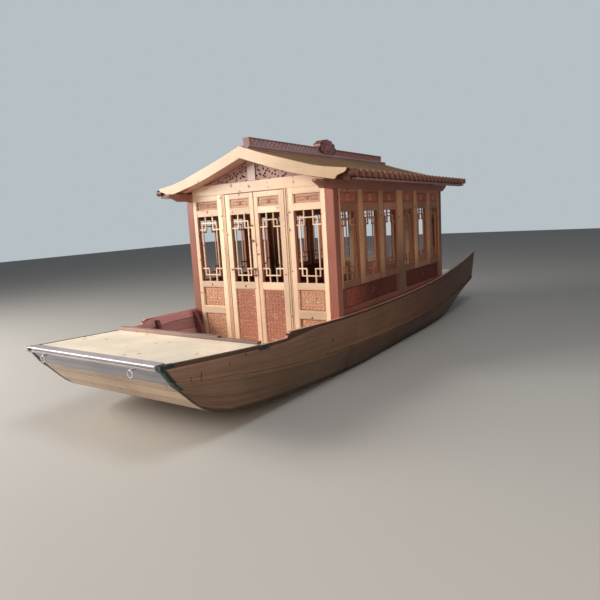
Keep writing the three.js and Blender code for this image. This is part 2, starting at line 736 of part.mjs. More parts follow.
function sideWall(word, side) {
  const wall = new THREE.Group();
  wall.position.y = side * CABIN_HALF;
  wall.rotation.z = side > 0 ? Math.PI : 0;
  const toLocal = (a, b) => (side > 0 ? [-b, -a] : [a, b]);
  const aftEnd = CABIN_AFT_X + POST + FIT_GAP;
  const foreEnd = CABIN_FRONT_X - POST - FIT_GAP;
  addMesh(wall, `side_bay_fore_${word}`, sideBay(toLocal(MID_POST_X[1] + FIT_GAP, foreEnd)), 'side');
  addMesh(wall, `side_bay_aft_${word}`, sideBay(toLocal(aftEnd, MID_POST_X[0] - FIT_GAP)), 'side');
  return wall;
}

function cornerPost(side, x) {
  const inner = CABIN_HALF - POST;
  const near = (z) => Math.min(...x.map((value) => innerHalf(value, z))) - 1;
  const knuckleZ = sectionAt(x[0]).knuckle[2];
  const sheerZ = Math.min(...x.map((value) => sectionAt(value).sheer[2]));
  const outline = [
    [inner, SOLE_TOP + FIT_GAP],
    [near(SOLE_TOP), SOLE_TOP + FIT_GAP],
    [near(knuckleZ), knuckleZ],
    [Math.min(near(sheerZ), CABIN_HALF), sheerZ],
    [CABIN_HALF, sheerZ + 1],
    [CABIN_HALF, PLATE_BOTTOM_Z - FIT_GAP],
    [inner, PLATE_BOTTOM_Z - FIT_GAP],
  ];
  return alongX(side > 0 ? outline : mirroredY(outline), x);
}

// Ledge along the hull's side that carries the cabin's side walls
const LEDGE_HALF = 850;
function cabinLedge(side) {
  const xs = stationsWithin(CABIN_FRONT_X - POST - FIT_GAP, CABIN_AFT_X + POST + FIT_GAP);
  const outer = xs.map((x) => [x, side * (innerHalf(x, SILL_BOTTOM_Z) - FIT_GAP)]);
  const inner = [[xs.at(-1), side * LEDGE_HALF], [xs[0], side * LEDGE_HALF]];
  return alongZ([...outer, ...inner], [SILL_BOTTOM_Z, SILL_TOP_Z]);
}

// Wall plate over the side wall, its ends running out and cut on a slant
const PLATE_ENDS = { bowTop: 1700, bowFoot: 1557, sternFoot: -1640, sternTop: -1788, lip: 20 };
function wallPlate(side) {
  const inner = CABIN_HALF - POST;
  const outline = [
    [PLATE_ENDS.sternFoot, PLATE_BOTTOM_Z],
    [PLATE_ENDS.bowFoot, PLATE_BOTTOM_Z],
    [PLATE_ENDS.bowTop, PLATE_TOP_Z - PLATE_ENDS.lip],
    [PLATE_ENDS.bowTop, PLATE_TOP_Z],
    [PLATE_ENDS.sternTop, PLATE_TOP_Z],
    [PLATE_ENDS.sternTop, PLATE_TOP_Z - PLATE_ENDS.lip],
  ];
  return alongY(outline, side > 0 ? [inner, CABIN_HALF] : [-CABIN_HALF, -inner]);
}

// Roof curve: the barge board's upper and lower edges on the port half, in Y and Z
const BARGE_UPPER = [[0, 2320], [250, 2231], [545, 2140], [882, 2042], [1191, 1995]];
const BARGE_LOWER = [[0, 2203], [250, 2117], [570, 2016], [863, 1946], [1063, 1906]];
const BARGE_TIP = [[1183, 1972], [1160, 1956], [1122, 1947], [1090, 1936], [1074, 1916]];
const ROOF_STEPS = 10;
function smooth(points, count) {
  const curve = new THREE.SplineCurve(points.map(([y, z]) => new THREE.Vector2(y, z)));
  return curve.getPoints(count).map((point) => [point.x, point.y]);
}

const ROOF_CURVE = smooth(BARGE_UPPER, ROOF_STEPS).map(([y, z]) => [y, z - ROOF_DROP]);

function roofTopZ(y) {
  const i = Math.max(ROOF_CURVE.findIndex((point) => point[0] >= y), 1);
  const [a, b] = [ROOF_CURVE[i - 1], ROOF_CURVE[i]];
  return THREE.MathUtils.mapLinear(y, a[0], b[0], a[1], b[1]);
}

function roofUnderZ(y) {
  return roofTopZ(y) - ROOF_THICK;
}

function roofSlope(side) {
  const under = ROOF_CURVE.map(([y, z]) => [y, z - ROOF_THICK]).reverse();
  const outline = [...ROOF_CURVE, ...under].map(([y, z]) => [y + (y === 0 ? FIT_GAP : 0), z]);
  const x = [ROOF_AFT_X + BARGE_THICK + FIT_GAP, ROOF_FRONT_X - BARGE_THICK - FIT_GAP];
  return alongX(side > 0 ? outline : mirroredY(outline), x);
}

function bargeBoard(x) {
  const upper = smooth(BARGE_UPPER, ROOF_STEPS);
  const lower = smooth(BARGE_LOWER, ROOF_STEPS).reverse();
  const half = [...upper, ...BARGE_TIP, ...lower];
  const mirrored = mirroredY(half.slice(1, -1)).reverse();
  return alongX([...half, ...mirrored], x);
}

// Fascia along the eave with a row of rounded tile ends set out from its upper part
const TILE_ARC = 5;
const EAVE_RAIL = 26;
const TILE_DROP = 48;
const TILE_LAP = 2;
function eaveRow(side) {
  const count = Math.round((ROOF_FRONT_X - ROOF_AFT_X) / TILE_PITCH);
  const pitch = (ROOF_FRONT_X - ROOF_AFT_X) / count;
  const bulge = TILE_REACH - EAVE_RAIL;
  const root = EAVE_HALF + FIT_GAP;
  const top = roofTopZ(EAVE_HALF);
  const lap = root + EAVE_RAIL - TILE_LAP;
  const outline = [[ROOF_FRONT_X, lap], [ROOF_AFT_X, lap]];
  for (let k = 0; k < count; k += 1) {
    const start = ROOF_AFT_X + k * pitch;
    for (let step = 0; step <= TILE_ARC; step += 1) {
      const angle = (Math.PI * step) / TILE_ARC;
      const x = start + (pitch / 2) * (1 - 0.94 * Math.cos(angle));
      outline.push([x, root + EAVE_RAIL + bulge * Math.sin(angle)]);
    }
  }
  const tiles = alongZ(outline.map(([x, y]) => [x, side * y]), [top - TILE_DROP, top]);
  const across = [side * root, side * (root + EAVE_RAIL)].sort((a, b) => a - b);
  return joined([box([ROOF_AFT_X, ROOF_FRONT_X], across, [roofUnderZ(EAVE_HALF) + 4, top]), tiles]);
}

// Tie beam over one end wall, cut to the roof's underside at its ends
const TIE_FLAT_HALF = 500;
function tieBeam(x) {
  const half = CABIN_HALF - POST - FIT_GAP;
  const crossing = [...ROOF_CURVE.map(([y]) => y).filter((y) => y > TIE_FLAT_HALF && y < half), half];
  const slant = crossing.map((y) => [y, Math.min(LINTEL_TOP_Z, roofUnderZ(y) - 1)]);
  const top = [...mirroredY(slant).reverse(), ...slant];
  return alongX([[half, LINTEL_BOTTOM_Z], [-half, LINTEL_BOTTOM_Z], ...top], x);
}

// Gable filling: a king post between two pierced boards
const KING_HALF = 50;
const FRET_THICK = 22;
const FRET_HOLE = 22;
const FRET_PITCH = [74, 54];
const FRET_END_Y = 620;
const FRET_EDGE = 14;
function gableFret(side) {
  const root = KING_HALF / 2;
  const foot = LINTEL_TOP_Z + FIT_GAP;
  const between = ROOF_CURVE.map(([y]) => y).filter((y) => y > root && y < FRET_END_Y);
  const top = [root, ...between, FRET_END_Y].map((y) => [y, Math.max(roofUnderZ(y) - 1, foot + FRET_EDGE)]);
  const outline = [...top.reverse(), [root, foot], [FRET_END_Y, foot]];
  const holes = [];
  const margin = FRET_HOLE + FRET_EDGE;
  for (let y = KING_HALF + margin; y < FRET_END_Y; y += FRET_PITCH[0]) {
    const roomy = (z) => z + margin < roofUnderZ(y + FRET_HOLE);
    for (let z = LINTEL_TOP_Z + margin; roomy(z); z += FRET_PITCH[1]) {
      holes.push([[y - FRET_HOLE, z], [y, z - FRET_HOLE], [y + FRET_HOLE, z], [y, z + FRET_HOLE]]);
    }
  }
  const place = (points) => (side > 0 ? points : mirroredY(points));
  return { outline: place(outline), holes: holes.map(place) };
}

function gable(x) {
  const middle = (x[0] + x[1]) / 2;
  const fretX = [middle - FRET_THICK / 2, middle + FRET_THICK / 2];
  const frets = [1, -1].map((side) => {
    const { outline, holes } = gableFret(side);
    const cutters = holes.map((hole) => alongX(hole, [fretX[0] - 1, fretX[1] + 1]));
    return cut(alongX(outline, fretX), cutters);
  });
  const shoulder = roofUnderZ(KING_HALF) - 1;
  const king = alongX([
    [-KING_HALF, LINTEL_TOP_Z + FIT_GAP],
    [KING_HALF, LINTEL_TOP_Z + FIT_GAP],
    [KING_HALF, shoulder],
    [0, roofUnderZ(0) - 1],
    [-KING_HALF, shoulder],
  ], x);
  return joined([...frets, king]);
}

// Ridge: a base strip over the roof's peak, a carved beam and a scalloped crest
const RIDGE_BASE_HALF = 85;
const RIDGE_HALF = 42;
function ridgeBase() {
  return alongX([
    [-RIDGE_BASE_HALF, roofTopZ(RIDGE_BASE_HALF) + 1],
    [0, roofTopZ(0) + 1],
    [RIDGE_BASE_HALF, roofTopZ(RIDGE_BASE_HALF) + 1],
    [RIDGE_BASE_HALF, RIDGE_Z[0]],
    [-RIDGE_BASE_HALF, RIDGE_Z[0]],
  ], [ROOF_AFT_X + BARGE_THICK + 2, ROOF_FRONT_X - BARGE_THICK - 2]);
}

const RIDGE_FLARE = 14;
function ridgeBeam() {
  return alongY([
    [RIDGE_X[0], RIDGE_Z[0] + FIT_GAP],
    [RIDGE_X[1], RIDGE_Z[0] + FIT_GAP],
    [RIDGE_X[1] + RIDGE_FLARE, RIDGE_Z[1]],
    [RIDGE_X[0] - RIDGE_FLARE, RIDGE_Z[1]],
  ], [-RIDGE_HALF, RIDGE_HALF]);
}

// Crest outline: lobes round the upper edge of a low oval that straddles the ridge
const CREST_HALF_LENGTH = 212;
const CREST_TOP_Z = 2520;
const CREST_FOOT_Z = 2352;
const CREST_LOBES = 7;
const LOBE_STEPS = 4;
const CREST_HALF_THICK = 52;
const CREST_FOOT_HALF = 132;
const CREST_SHOULDER = 24;
const LOBE_DEPTH = 0.1;
function crestOutline() {
  const points = [[CREST_X - CREST_FOOT_HALF, CREST_FOOT_Z], [CREST_X + CREST_FOOT_HALF, CREST_FOOT_Z]];
  const steps = CREST_LOBES * LOBE_STEPS;
  const middleZ = CREST_FOOT_Z + CREST_SHOULDER;
  for (let i = 0; i <= steps; i += 1) {
    const angle = (Math.PI * i) / steps;
    const lobe = 1 - LOBE_DEPTH + LOBE_DEPTH * Math.abs(Math.sin(CREST_LOBES * angle));
    points.push([
      CREST_X + CREST_HALF_LENGTH * lobe * Math.cos(angle),
      middleZ + (CREST_TOP_Z - middleZ) * lobe * Math.sin(angle),
    ]);
  }
  return points;
}

function crest() {
  const block = alongY(crestOutline(), [-CREST_HALF_THICK, CREST_HALF_THICK]);
  const slot = box(
    [CREST_X - 2 * CREST_HALF_LENGTH, CREST_X + 2 * CREST_HALF_LENGTH],
    [-RIDGE_HALF - FIT_GAP, RIDGE_HALF + FIT_GAP],
    [RIDGE_Z[0] - 10, RIDGE_Z[1] + FIT_GAP],
  );
  return cut(block, [slot]);
}

function cabinGroup() {
  const cabin = new THREE.Group();
  const frontWall = [CABIN_FRONT_X - WALL_THICK, CABIN_FRONT_X];
  const aftWall = [CABIN_AFT_X, CABIN_AFT_X + WALL_THICK];
  cabin.add(endWall('front', 1), endWall('rear', -1));
  cabin.add(sideWall('port', 1), sideWall('starboard', -1));
  for (const [side, word] of [[1, 'port'], [-1, 'starboard']]) {
    const [foreX, aftX] = [[CABIN_FRONT_X - POST, CABIN_FRONT_X], [CABIN_AFT_X, CABIN_AFT_X + POST]];
    addMesh(cabin, `corner_post_front_${word}`, cornerPost(side, foreX), 'red');
    addMesh(cabin, `corner_post_rear_${word}`, cornerPost(side, aftX), 'red');
    const midY = side > 0 ? [CABIN_HALF - POST, CABIN_HALF] : [-CABIN_HALF, POST - CABIN_HALF];
    const midZ = [SILL_TOP_Z + FIT_GAP, PLATE_BOTTOM_Z - FIT_GAP];
    addMesh(cabin, `mid_post_${word}`, box(MID_POST_X, midY, midZ), 'side');
    addMesh(cabin, `cabin_ledge_${word}`, cabinLedge(side), 'red');
    addMesh(cabin, `wall_plate_${word}`, wallPlate(side), 'red');
  }
  addMesh(cabin, 'tie_beam_front', tieBeam(frontWall), 'pine');
  addMesh(cabin, 'tie_beam_rear', tieBeam(aftWall), 'pine');
  addMesh(cabin, 'gable_front', gable(frontWall), 'red');
  addMesh(cabin, 'gable_rear', gable(aftWall), 'red');
  return cabin;
}

function roofGroup() {
  const roof = new THREE.Group();
  for (const [side, word] of [[1, 'port'], [-1, 'starboard']]) {
    addMesh(roof, `roof_slope_${word}`, roofSlope(side), 'side');
    addMesh(roof, `eave_row_${word}`, eaveRow(side), 'red');
  }
  addMesh(roof, 'barge_board_front', bargeBoard([ROOF_FRONT_X - BARGE_THICK, ROOF_FRONT_X]), 'pine');
  addMesh(roof, 'barge_board_rear', bargeBoard([ROOF_AFT_X, ROOF_AFT_X + BARGE_THICK]), 'pine');
  addMesh(roof, 'ridge_base', ridgeBase(), 'red');
  addMesh(roof, 'ridge_beam', ridgeBeam(), 'red');
  addMesh(roof, 'ridge_crest', crest(), 'red');
  return roof;
}

boat.add(hullGroup(), cabinGroup(), roofGroup());

export default boat;
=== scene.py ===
"""Looks of a wooden pleasure boat with a lattice-windowed cabin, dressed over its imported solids."""

import logging
import math
import random
from dataclasses import dataclass, field, replace
from enum import Enum
from typing import Callable, Sequence

import bmesh
import bpy
import numpy as np
from mathutils import Matrix, Vector


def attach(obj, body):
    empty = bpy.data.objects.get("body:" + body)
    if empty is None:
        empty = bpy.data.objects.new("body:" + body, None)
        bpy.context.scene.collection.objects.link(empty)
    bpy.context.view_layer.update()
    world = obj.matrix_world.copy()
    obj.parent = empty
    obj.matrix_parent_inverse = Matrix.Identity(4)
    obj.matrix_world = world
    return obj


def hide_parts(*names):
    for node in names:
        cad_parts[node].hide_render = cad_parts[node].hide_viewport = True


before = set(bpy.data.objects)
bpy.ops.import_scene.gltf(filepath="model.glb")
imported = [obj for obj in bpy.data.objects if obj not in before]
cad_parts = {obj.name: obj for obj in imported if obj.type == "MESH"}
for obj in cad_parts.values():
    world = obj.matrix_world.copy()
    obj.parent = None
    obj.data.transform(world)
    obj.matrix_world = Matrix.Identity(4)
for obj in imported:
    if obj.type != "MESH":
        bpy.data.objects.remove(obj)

LOG = logging.getLogger("boat")
Range = tuple[float, float]
Place = tuple[float, float, float]
Colour = tuple[float, float, float]
Rows = tuple[tuple[float, ...], ...]
Socket = bpy.types.NodeSocket
Sockets = bpy.types.bpy_prop_collection
Piece = bpy.types.Object
# length of the UV map that each board has to itself
BOARD_STRIDE = 10.0
# body of everything but the four leaves
BODY = "hull_and_cabin"
# distance at which two points of a mesh are one
MERGE = 1e-5
# share of a face's normal along an axis, above which the face is square to it, nearly square to it,
# or just turned towards it
SQUARE_ON = 0.9
END_ON = 0.6
TURNED = 0.3
# heights of the sheer, the knuckle and the chine along X, from stern to bow
LINE_X = (
    -3.53, -3.12, -2.7, -2.25, -1.8, -1.35, -0.7, 0.0, 0.8, 1.41, 1.85, 2.254, 2.553, 2.9, 3.08, 3.24, 3.39,
    3.505,
)
SHEER = (
    0.85, 0.814, 0.778, 0.738, 0.699, 0.662, 0.632, 0.616, 0.616, 0.626, 0.64, 0.605, 0.614, 0.637, 0.65,
    0.662, 0.673, 0.681,
)
KNUCKLE = (
    0.436, 0.388, 0.35, 0.318, 0.285, 0.256, 0.238, 0.244, 0.272, 0.302, 0.331, 0.369, 0.405, 0.456, 0.482,
    0.507, 0.53, 0.551,
)
CHINE = (
    0.382, 0.312, 0.224, 0.112, 0.024, 0.0, 0.0, 0.0, 0.0, 0.04, 0.068, 0.098, 0.128, 0.176, 0.236, 0.312,
    0.425, 0.515,
)


class Axis(Enum):
    """Direction that the grain of a board runs in."""

    X = 0
    Y = 1
    Z = 2


class Hand(Enum):
    """Side of the boat."""

    PORT = 1
    STARBOARD = -1

    @property
    def word(self) -> str:
        """Name of the side as the nodes spell it."""
        return self.name.lower()


# Colour tools


def tint(red: int, green: int, blue: int) -> Colour:
    """Turn a colour given in 0 to 255 screen steps into linear light.

    Args:
        red: Screen red.
        green: Screen green.
        blue: Screen blue.

    Returns:
        The linear colour.
    """
    shares = (step / 255 for step in (red, green, blue))
    return tuple(share / 12.92 if share <= 0.04045 else ((share + 0.055) / 1.055) ** 2.4 for share in shares)


# Node tools


class Wiring:
    """Short calls that add and link the nodes of one tree."""

    def __init__(self, tree: bpy.types.NodeTree) -> None:
        """Keep the tree that the nodes go into."""
        self.tree = tree

    def node(self, kind: str, feeds: dict | None = None, **settings: object) -> bpy.types.Node:
        """Add a node.

        Args:
            kind: Blender's name of the node type.
            feeds: Value or socket for each input, by its name or number.
            settings: Attributes of the node.

        Returns:
            The new node.
        """
        node = self.tree.nodes.new(kind)
        for name, value in settings.items():
            setattr(node, name, value)
        for key, value in (feeds or {}).items():
            self.feed(node.inputs[key], value)
        return node

    def feed(self, socket: Socket, value: object) -> None:
        """Give an input a link or a plain value.

        Args:
            socket: The input.
            value: A socket to link from, or a number or colour.
        """
        if isinstance(value, bpy.types.NodeSocket):
            self.tree.links.new(value, socket)
        elif isinstance(value, tuple) and len(value) == 3 and socket.type == "RGBA":
            socket.default_value = (*value, 1.0)
        else:
            socket.default_value = value

    def group(self, tree: bpy.types.NodeTree, feeds: dict) -> Sockets:
        """Place a node group and give its outputs."""
        return self.node("ShaderNodeGroup", feeds, node_tree=tree).outputs

    def math(self, operation: str, first: object, second: object = 0.0, clamp: bool = False) -> Socket:
        """Add a Math node and give its result."""
        rule = {"operation": operation, "use_clamp": clamp}
        return self.node("ShaderNodeMath", {0: first, 1: second}, **rule).outputs[0]

    def plus(self, first: object, second: object, clamp: bool = False) -> Socket:
        """Give a sum."""
        return self.math("ADD", first, second, clamp)

    def minus(self, first: object, second: object) -> Socket:
        """Give a difference."""
        return self.math("SUBTRACT", first, second)

    def times(self, first: object, second: object) -> Socket:
        """Give a product."""
        return self.math("MULTIPLY", first, second)

    def over(self, first: object, second: object, clamp: bool = False) -> Socket:
        """Give a quotient."""
        return self.math("DIVIDE", first, second, clamp)

    def mix(self, share: object, first: object, second: object, blend: str = "MIX") -> Socket:
        """Add a colour Mix node and give its result."""
        feeds = {0: share, 6: first, 7: second}
        return self.node("ShaderNodeMix", feeds, data_type="RGBA", blend_type=blend).outputs[2]

    def spread(self, value: object, low: float, high: float, to_low: float = 0, to_high: float = 1) -> Socket:
        """Map one range to another smoothly, clamped at both ends."""
        feeds = {"Value": value, "From Min": low, "From Max": high, "To Min": to_low, "To Max": to_high}
        return self.node("ShaderNodeMapRange", feeds, interpolation_type="SMOOTHSTEP").outputs[0]

    def split(self, vector: object) -> tuple[Socket, Socket, Socket]:
        """Give the three parts of a vector."""
        return tuple(self.node("ShaderNodeSeparateXYZ", {0: vector}).outputs)

    def scaled(self, vector: object, x: float, y: float, z: float = 1.0) -> Socket:
        """Give a vector stretched by three factors."""
        return self.node("ShaderNodeVectorMath", {0: vector, 1: (x, y, z)}, operation="MULTIPLY").outputs[0]

    def along(self, x: object, heights: Sequence[float]) -> Socket:
        """Give the height of one of the hull's lines at X.

        Args:
            x: The place.
            heights: Height of the line at each place of LINE_X.

        Returns:
            The height.
        """
        length = LINE_X[-1] - LINE_X[0]
        share = self.over(self.minus(x, LINE_X[0]), length, clamp=True)
        curve = self.node("ShaderNodeFloatCurve", {"Value": share})
        points = curve.mapping.curves[0].points
        while len(points) < len(LINE_X):
            points.new(0.5, 0.5)
        for point, place, height in zip(points, LINE_X, heights):
            point.location = ((place - LINE_X[0]) / length, height)
            point.handle_type = "VECTOR"
        curve.mapping.update()
        return curve.outputs[0]

    def noise(self, vector: object, scale: float = 1.0, detail: float = 2.0, rough: float = 0.5) -> Socket:
        """Give a noise value, about 0.5 in the middle."""
        feeds = {"Vector": vector, "Scale": scale, "Detail": detail, "Roughness": rough}
        return self.node("ShaderNodeTexNoise", feeds).outputs[0]

    def chance(self, number: object) -> Socket:
        """Give a random value for each whole number."""
        return self.node("ShaderNodeTexWhiteNoise", {"W": number}, noise_dimensions="1D").outputs[0]

    def close(self, results: dict[str, Socket]) -> bpy.types.NodeTree:
        """Put out the results of a node group.

        Args:
            results: The values, by the names of the outputs.

        Returns:
            The group.
        """
        for word in results:
            self.tree.interface.new_socket(word, in_out="OUTPUT", socket_type="NodeSocketFloat")
        self.node("NodeGroupOutput", results)
        return self.tree


def new_group(name: str, inputs: dict[str, float | None]) -> tuple[Wiring, Sockets]:
    """Start a shader node group.

    Args:
        name: Name of the group.
        inputs: Start value of each number that it takes, or nothing for a vector.

    Returns:
        The wiring of the group and its inputs.
    """
    tree = bpy.data.node_groups.new(name, "ShaderNodeTree")
    for word, value in inputs.items():
        kind = "NodeSocketVector" if value is None else "NodeSocketFloat"
        socket = tree.interface.new_socket(word, in_out="INPUT", socket_type=kind)
        if value is not None:
            socket.default_value = value
    wiring = Wiring(tree)
    return wiring, wiring.node("NodeGroupInput").outputs


class Effects:
    """Node groups that more than one finish uses."""

    def __init__(self) -> None:
        """Build every group once."""
        self.timber = self._timber()
        self.seams = self._seams()
        self.handling = self._handling()

    def _timber(self) -> bpy.types.NodeTree:
        """Growth rings, fibre, knots and the tone of each board, from U along the grain and V across it."""
        inputs = {"Vector": None, "Ring Pitch": 0.014, "Wander": 3.0, "Knots": 0.3}
        wiring, entry = new_group("timber_figure", inputs)
        along, across, _ = wiring.split(entry["Vector"])
        board = wiring.math("FLOOR", wiring.over(along, BOARD_STRIDE))
        parts = {0: along, 1: across, 2: wiring.times(board, 3.7)}
        place = wiring.node("ShaderNodeCombineXYZ", parts).outputs[0]
        feeds = {"Vector": wiring.scaled(place, 11.0, 7.5), "Scale": 1.0, "Randomness": 1.0}
        cells = wiring.node("ShaderNodeTexVoronoi", feeds, feature="F1").outputs
        present = wiring.math("LESS_THAN", wiring.split(cells["Color"])[0], entry["Knots"])
        ragged = wiring.noise(wiring.scaled(place, 70.0, 24.0), rough=0.6)
        distance = wiring.plus(cells["Distance"], wiring.times(wiring.minus(ragged, 0.5), 0.45))
        knot = wiring.times(wiring.spread(distance, 0.06, 0.19, 1.0, 0.0), present)
        bulge = wiring.times(wiring.spread(distance, 0.0, 0.34, 1.6, 0.0), present)
        warp = wiring.minus(wiring.noise(wiring.scaled(place, 0.9, 3.4)), 0.5)
        sway = wiring.times(warp, wiring.times(entry["Wander"], 4.0))
        turns = wiring.plus(wiring.plus(wiring.over(across, entry["Ring Pitch"]), sway), bulge)
        wave = wiring.math("SINE", wiring.times(turns, math.tau))
        rings = wiring.math("POWER", wiring.plus(wiring.times(wave, 0.5), 0.5), 1.8)
        fibre = wiring.noise(wiring.scaled(place, 7.0, 240.0), 1.0, 3.0, 0.65)
        ridge = wiring.minus(wiring.times(fibre, 0.6), wiring.times(rings, 0.35))
        return wiring.close({
            "Rings": rings,
            "Fibre": fibre,
            "Streak": wiring.noise(wiring.scaled(place, 0.8, 26.0), 1.0, 3.0, 0.6),
            "Knot": knot,
            "Tone": wiring.chance(board),
            "Height": wiring.minus(ridge, wiring.times(knot, 0.5)),
        })

    def _seams(self) -> bpy.types.NodeTree:
        """Dark joints between planks of one width, and a tone for each plank."""
        wiring, entry = new_group("plank_seams", {"Vector": None, "Width": 0.15, "Gap": 0.003})
        along, across, _ = wiring.split(entry["Vector"])
        count = wiring.over(across, entry["Width"])
        away = wiring.math("ABSOLUTE", wiring.minus(wiring.math("FRACT", wiring.plus(count, 0.5)), 0.5))
        near = wiring.over(wiring.times(away, entry["Width"]), entry["Gap"])
        board = wiring.math("FLOOR", wiring.over(along, BOARD_STRIDE))
        plank = wiring.plus(wiring.math("FLOOR", count), board)
        seam = wiring.spread(near, 0.35, 1.0, 1.0, 0.0)
        return wiring.close({"Seam": seam, "Plank Tone": wiring.chance(plank)})

    def _handling(self) -> bpy.types.NodeTree:
        """Dust on what faces up, and blotches, from the piece's own coordinates."""
        wiring, entry = new_group("handling_marks", {"Position": None})
        up = wiring.split(wiring.node("ShaderNodeNewGeometry").outputs["Normal"])[2]
        cloud = wiring.noise(entry["Position"], 5.0, 5.0, 0.6)
        return wiring.close({
            "Dust": wiring.times(wiring.spread(up, 0.35, 0.95), wiring.spread(cloud, 0.4, 0.75)),
            "Blotch": wiring.noise(entry["Position"], 2.3, 3.0, 0.55),
        })


def start_material(name: str, effects: Effects) -> tuple[bpy.types.Material, Wiring, Sockets, Sockets]:
    """Start a material that reads its piece's coordinates and marks of handling.

    Args:
        name: Name of the material.
        effects: The shared node groups.

    Returns:
        The material, its wiring, the coordinates and the marks.
    """
    material = bpy.data.materials.new(name)
    material.use_nodes = True
    material.node_tree.nodes.clear()
    wiring = Wiring(material.node_tree)
    chart = wiring.node("ShaderNodeTexCoord").outputs
    return material, wiring, chart, wiring.group(effects.handling, {"Position": chart["Object"]})


@dataclass(frozen=True)
class Timber:
    """Finish of one kind of wood: its figure, its stain and its varnish, with bands and fades of painted
    light and shade.
    """

    name: str
    slot: str
    pale: Colour
    deep: Colour
    knot: Colour = (0.08, 0.03, 0.015)
    ring_pitch: float = 0.014
    ring_share: float = 0.45
    wander: float = 3.0
    knots: float = 0.0
    streak_share: float = 0.35
    streak_gain: float = 2.4
    fibre_share: float = 0.5
    tone_share: float = 0.25
    blotches: Range = (0.9, 1.08)
    roughness: float = 0.42
    fibre_rough: float = 0.22
    dust_rough: float = 0.25
    coat: float = 0.2
    coat_roughness: float = 0.18
    gloss: float = 0.35
    bump: float = 0.0006
    plank: float = 0.0
    # share of the deep colour that is left in a seam between planks, and a seam's depth against the figure's
    seam_light: float = 0.18
    seam_depth: float = 4.0
    dust: float = 0.12
    dust_colour: Colour = (0.55, 0.5, 0.43)
    # bands of painted highlight and shade along a line of the hull: the line, from and to above it,
    # brightness
    bands: tuple[tuple[tuple[float, ...], float, float, float], ...] = ()
    band_edge: float = 0.003
    # X, low Z, high Z
    cracks: Rows = ()
    crack_light: float = 0.25
    # painted light and shade fading along an axis: axis, from, to, brightness up to the first place; past the
    # second it is 1
    fades: tuple[tuple[Axis, float, float, float], ...] = ()
    # colour of the painted shade that the stern end is multiplied by, and where it starts and ends
    aft_shade_tint: Colour | None = None
    aft_shade_from: Range = (-1.2, 2.7)

    def material(self, effects: Effects) -> bpy.types.Material:
        """Build the finish.

        Args:
            effects: The shared node groups.

        Returns:
            The material.
        """
        material, wiring, chart, marks = start_material(self.name, effects)
        feeds = {"Ring Pitch": self.ring_pitch, "Wander": self.wander, "Knots": self.knots}
        figure = wiring.group(effects.timber, {"Vector": chart["UV"], **feeds})
        fibre = wiring.minus(figure["Fibre"], 0.5)
        lift = wiring.times(wiring.minus(figure["Streak"], 0.5), self.streak_share * self.streak_gain)
        share = wiring.plus(wiring.times(figure["Rings"], self.ring_share), lift, clamp=True)
        share = wiring.plus(share, wiring.times(fibre, self.fibre_share), clamp=True)
        colour = wiring.mix(share, self.pale, self.deep)
        tone, height = figure["Tone"], figure["Height"]
        if self.plank:
            seams = wiring.group(effects.seams, {"Width": self.plank, "Vector": chart["UV"]})
            tone = seams["Plank Tone"]
            colour = wiring.mix(seams["Seam"], colour, tuple(part * self.seam_light for part in self.deep))
            height = wiring.minus(height, wiring.times(seams["Seam"], self.seam_depth))
        value = wiring.spread(tone, 0.0, 1.0, 1.0 - self.tone_share, 1.0 + self.tone_share)
        value = wiring.times(value, wiring.spread(marks["Blotch"], 0.3, 0.7, *self.blotches))
        place = wiring.split(chart["Object"])
        # painted shade: the stern end's colour is tinted
        if self.aft_shade_tint:
            aft = wiring.spread(place[0], *self.aft_shade_from, 1.0, 0.0)
            colour = wiring.mix(aft, colour, wiring.mix(1.0, colour, self.aft_shade_tint, "MULTIPLY"))
        value = self._light(wiring, place, value)
        shade = wiring.node("ShaderNodeHueSaturation", {"Color": colour, "Value": value})
        colour = wiring.mix(figure["Knot"], shade.outputs[0], self.knot)
        colour = wiring.mix(wiring.times(marks["Dust"], self.dust), colour, self.dust_colour)
        rough = wiring.plus(self.roughness, wiring.times(fibre, self.fibre_rough))
        rough = wiring.plus(rough, wiring.times(marks["Dust"], self.dust_rough), clamp=True)
        bump = wiring.node("ShaderNodeBump", {"Height": height, "Distance": self.bump, "Strength": 0.8})
        shader = wiring.node("ShaderNodeBsdfPrincipled", {
            "Base Color": colour, "Roughness": rough, "Normal": bump.outputs[0], "Coat Weight": self.coat,
            "Coat Roughness": self.coat_roughness, "Specular IOR Level": self.gloss,
        })
        wiring.node("ShaderNodeOutputMaterial", {"Surface": shader.outputs[0]})
        return material

    def _light(self, wiring: Wiring, place: Sequence[Socket], value: Socket) -> Socket:
        """Darken or lighten the finish by its bands and fades of painted light and shade, and by its cracks.

        Args:
            wiring: The material's wiring.
            place: X, Y and Z on the piece.
            value: Brightness so far.

        Returns:
            The brightness.
        """
        # bands of painted highlight and shade along the hull's lines
        for line, low, high, light in self.bands:
            above = wiring.minus(place[2], wiring.along(place[0], line))
            inside = wiring.times(
                wiring.spread(above, low - self.band_edge, low + self.band_edge),
                wiring.spread(above, high - self.band_edge, high + self.band_edge, 1.0, 0.0),
            )
            value = wiring.times(value, wiring.spread(inside, 0.0, 1.0, 1.0, light))
        # painted light and shade fading along an axis
        for axis, low, high, light in self.fades:
            value = wiring.times(value, wiring.spread(place[axis.value], low, high, light, 1.0))
        for x, low, high in self.cracks:
            bow = wiring.times(wiring.math("SINE", wiring.times(place[2], 34.0)), 0.009)
            away = wiring.math("ABSOLUTE", wiring.plus(wiring.minus(place[0], x), bow))
            split = wiring.spread(away, 0.002, 0.0055, 1.0, 0.0)
            split = wiring.times(split, wiring.spread(place[2], low, low + 0.01))
            split = wiring.times(split, wiring.spread(place[2], high - 0.01, high, 1.0, 0.0))
            value = wiring.times(value, wiring.spread(split, 0.0, 1.0, 1.0, self.crack_light))
        return value


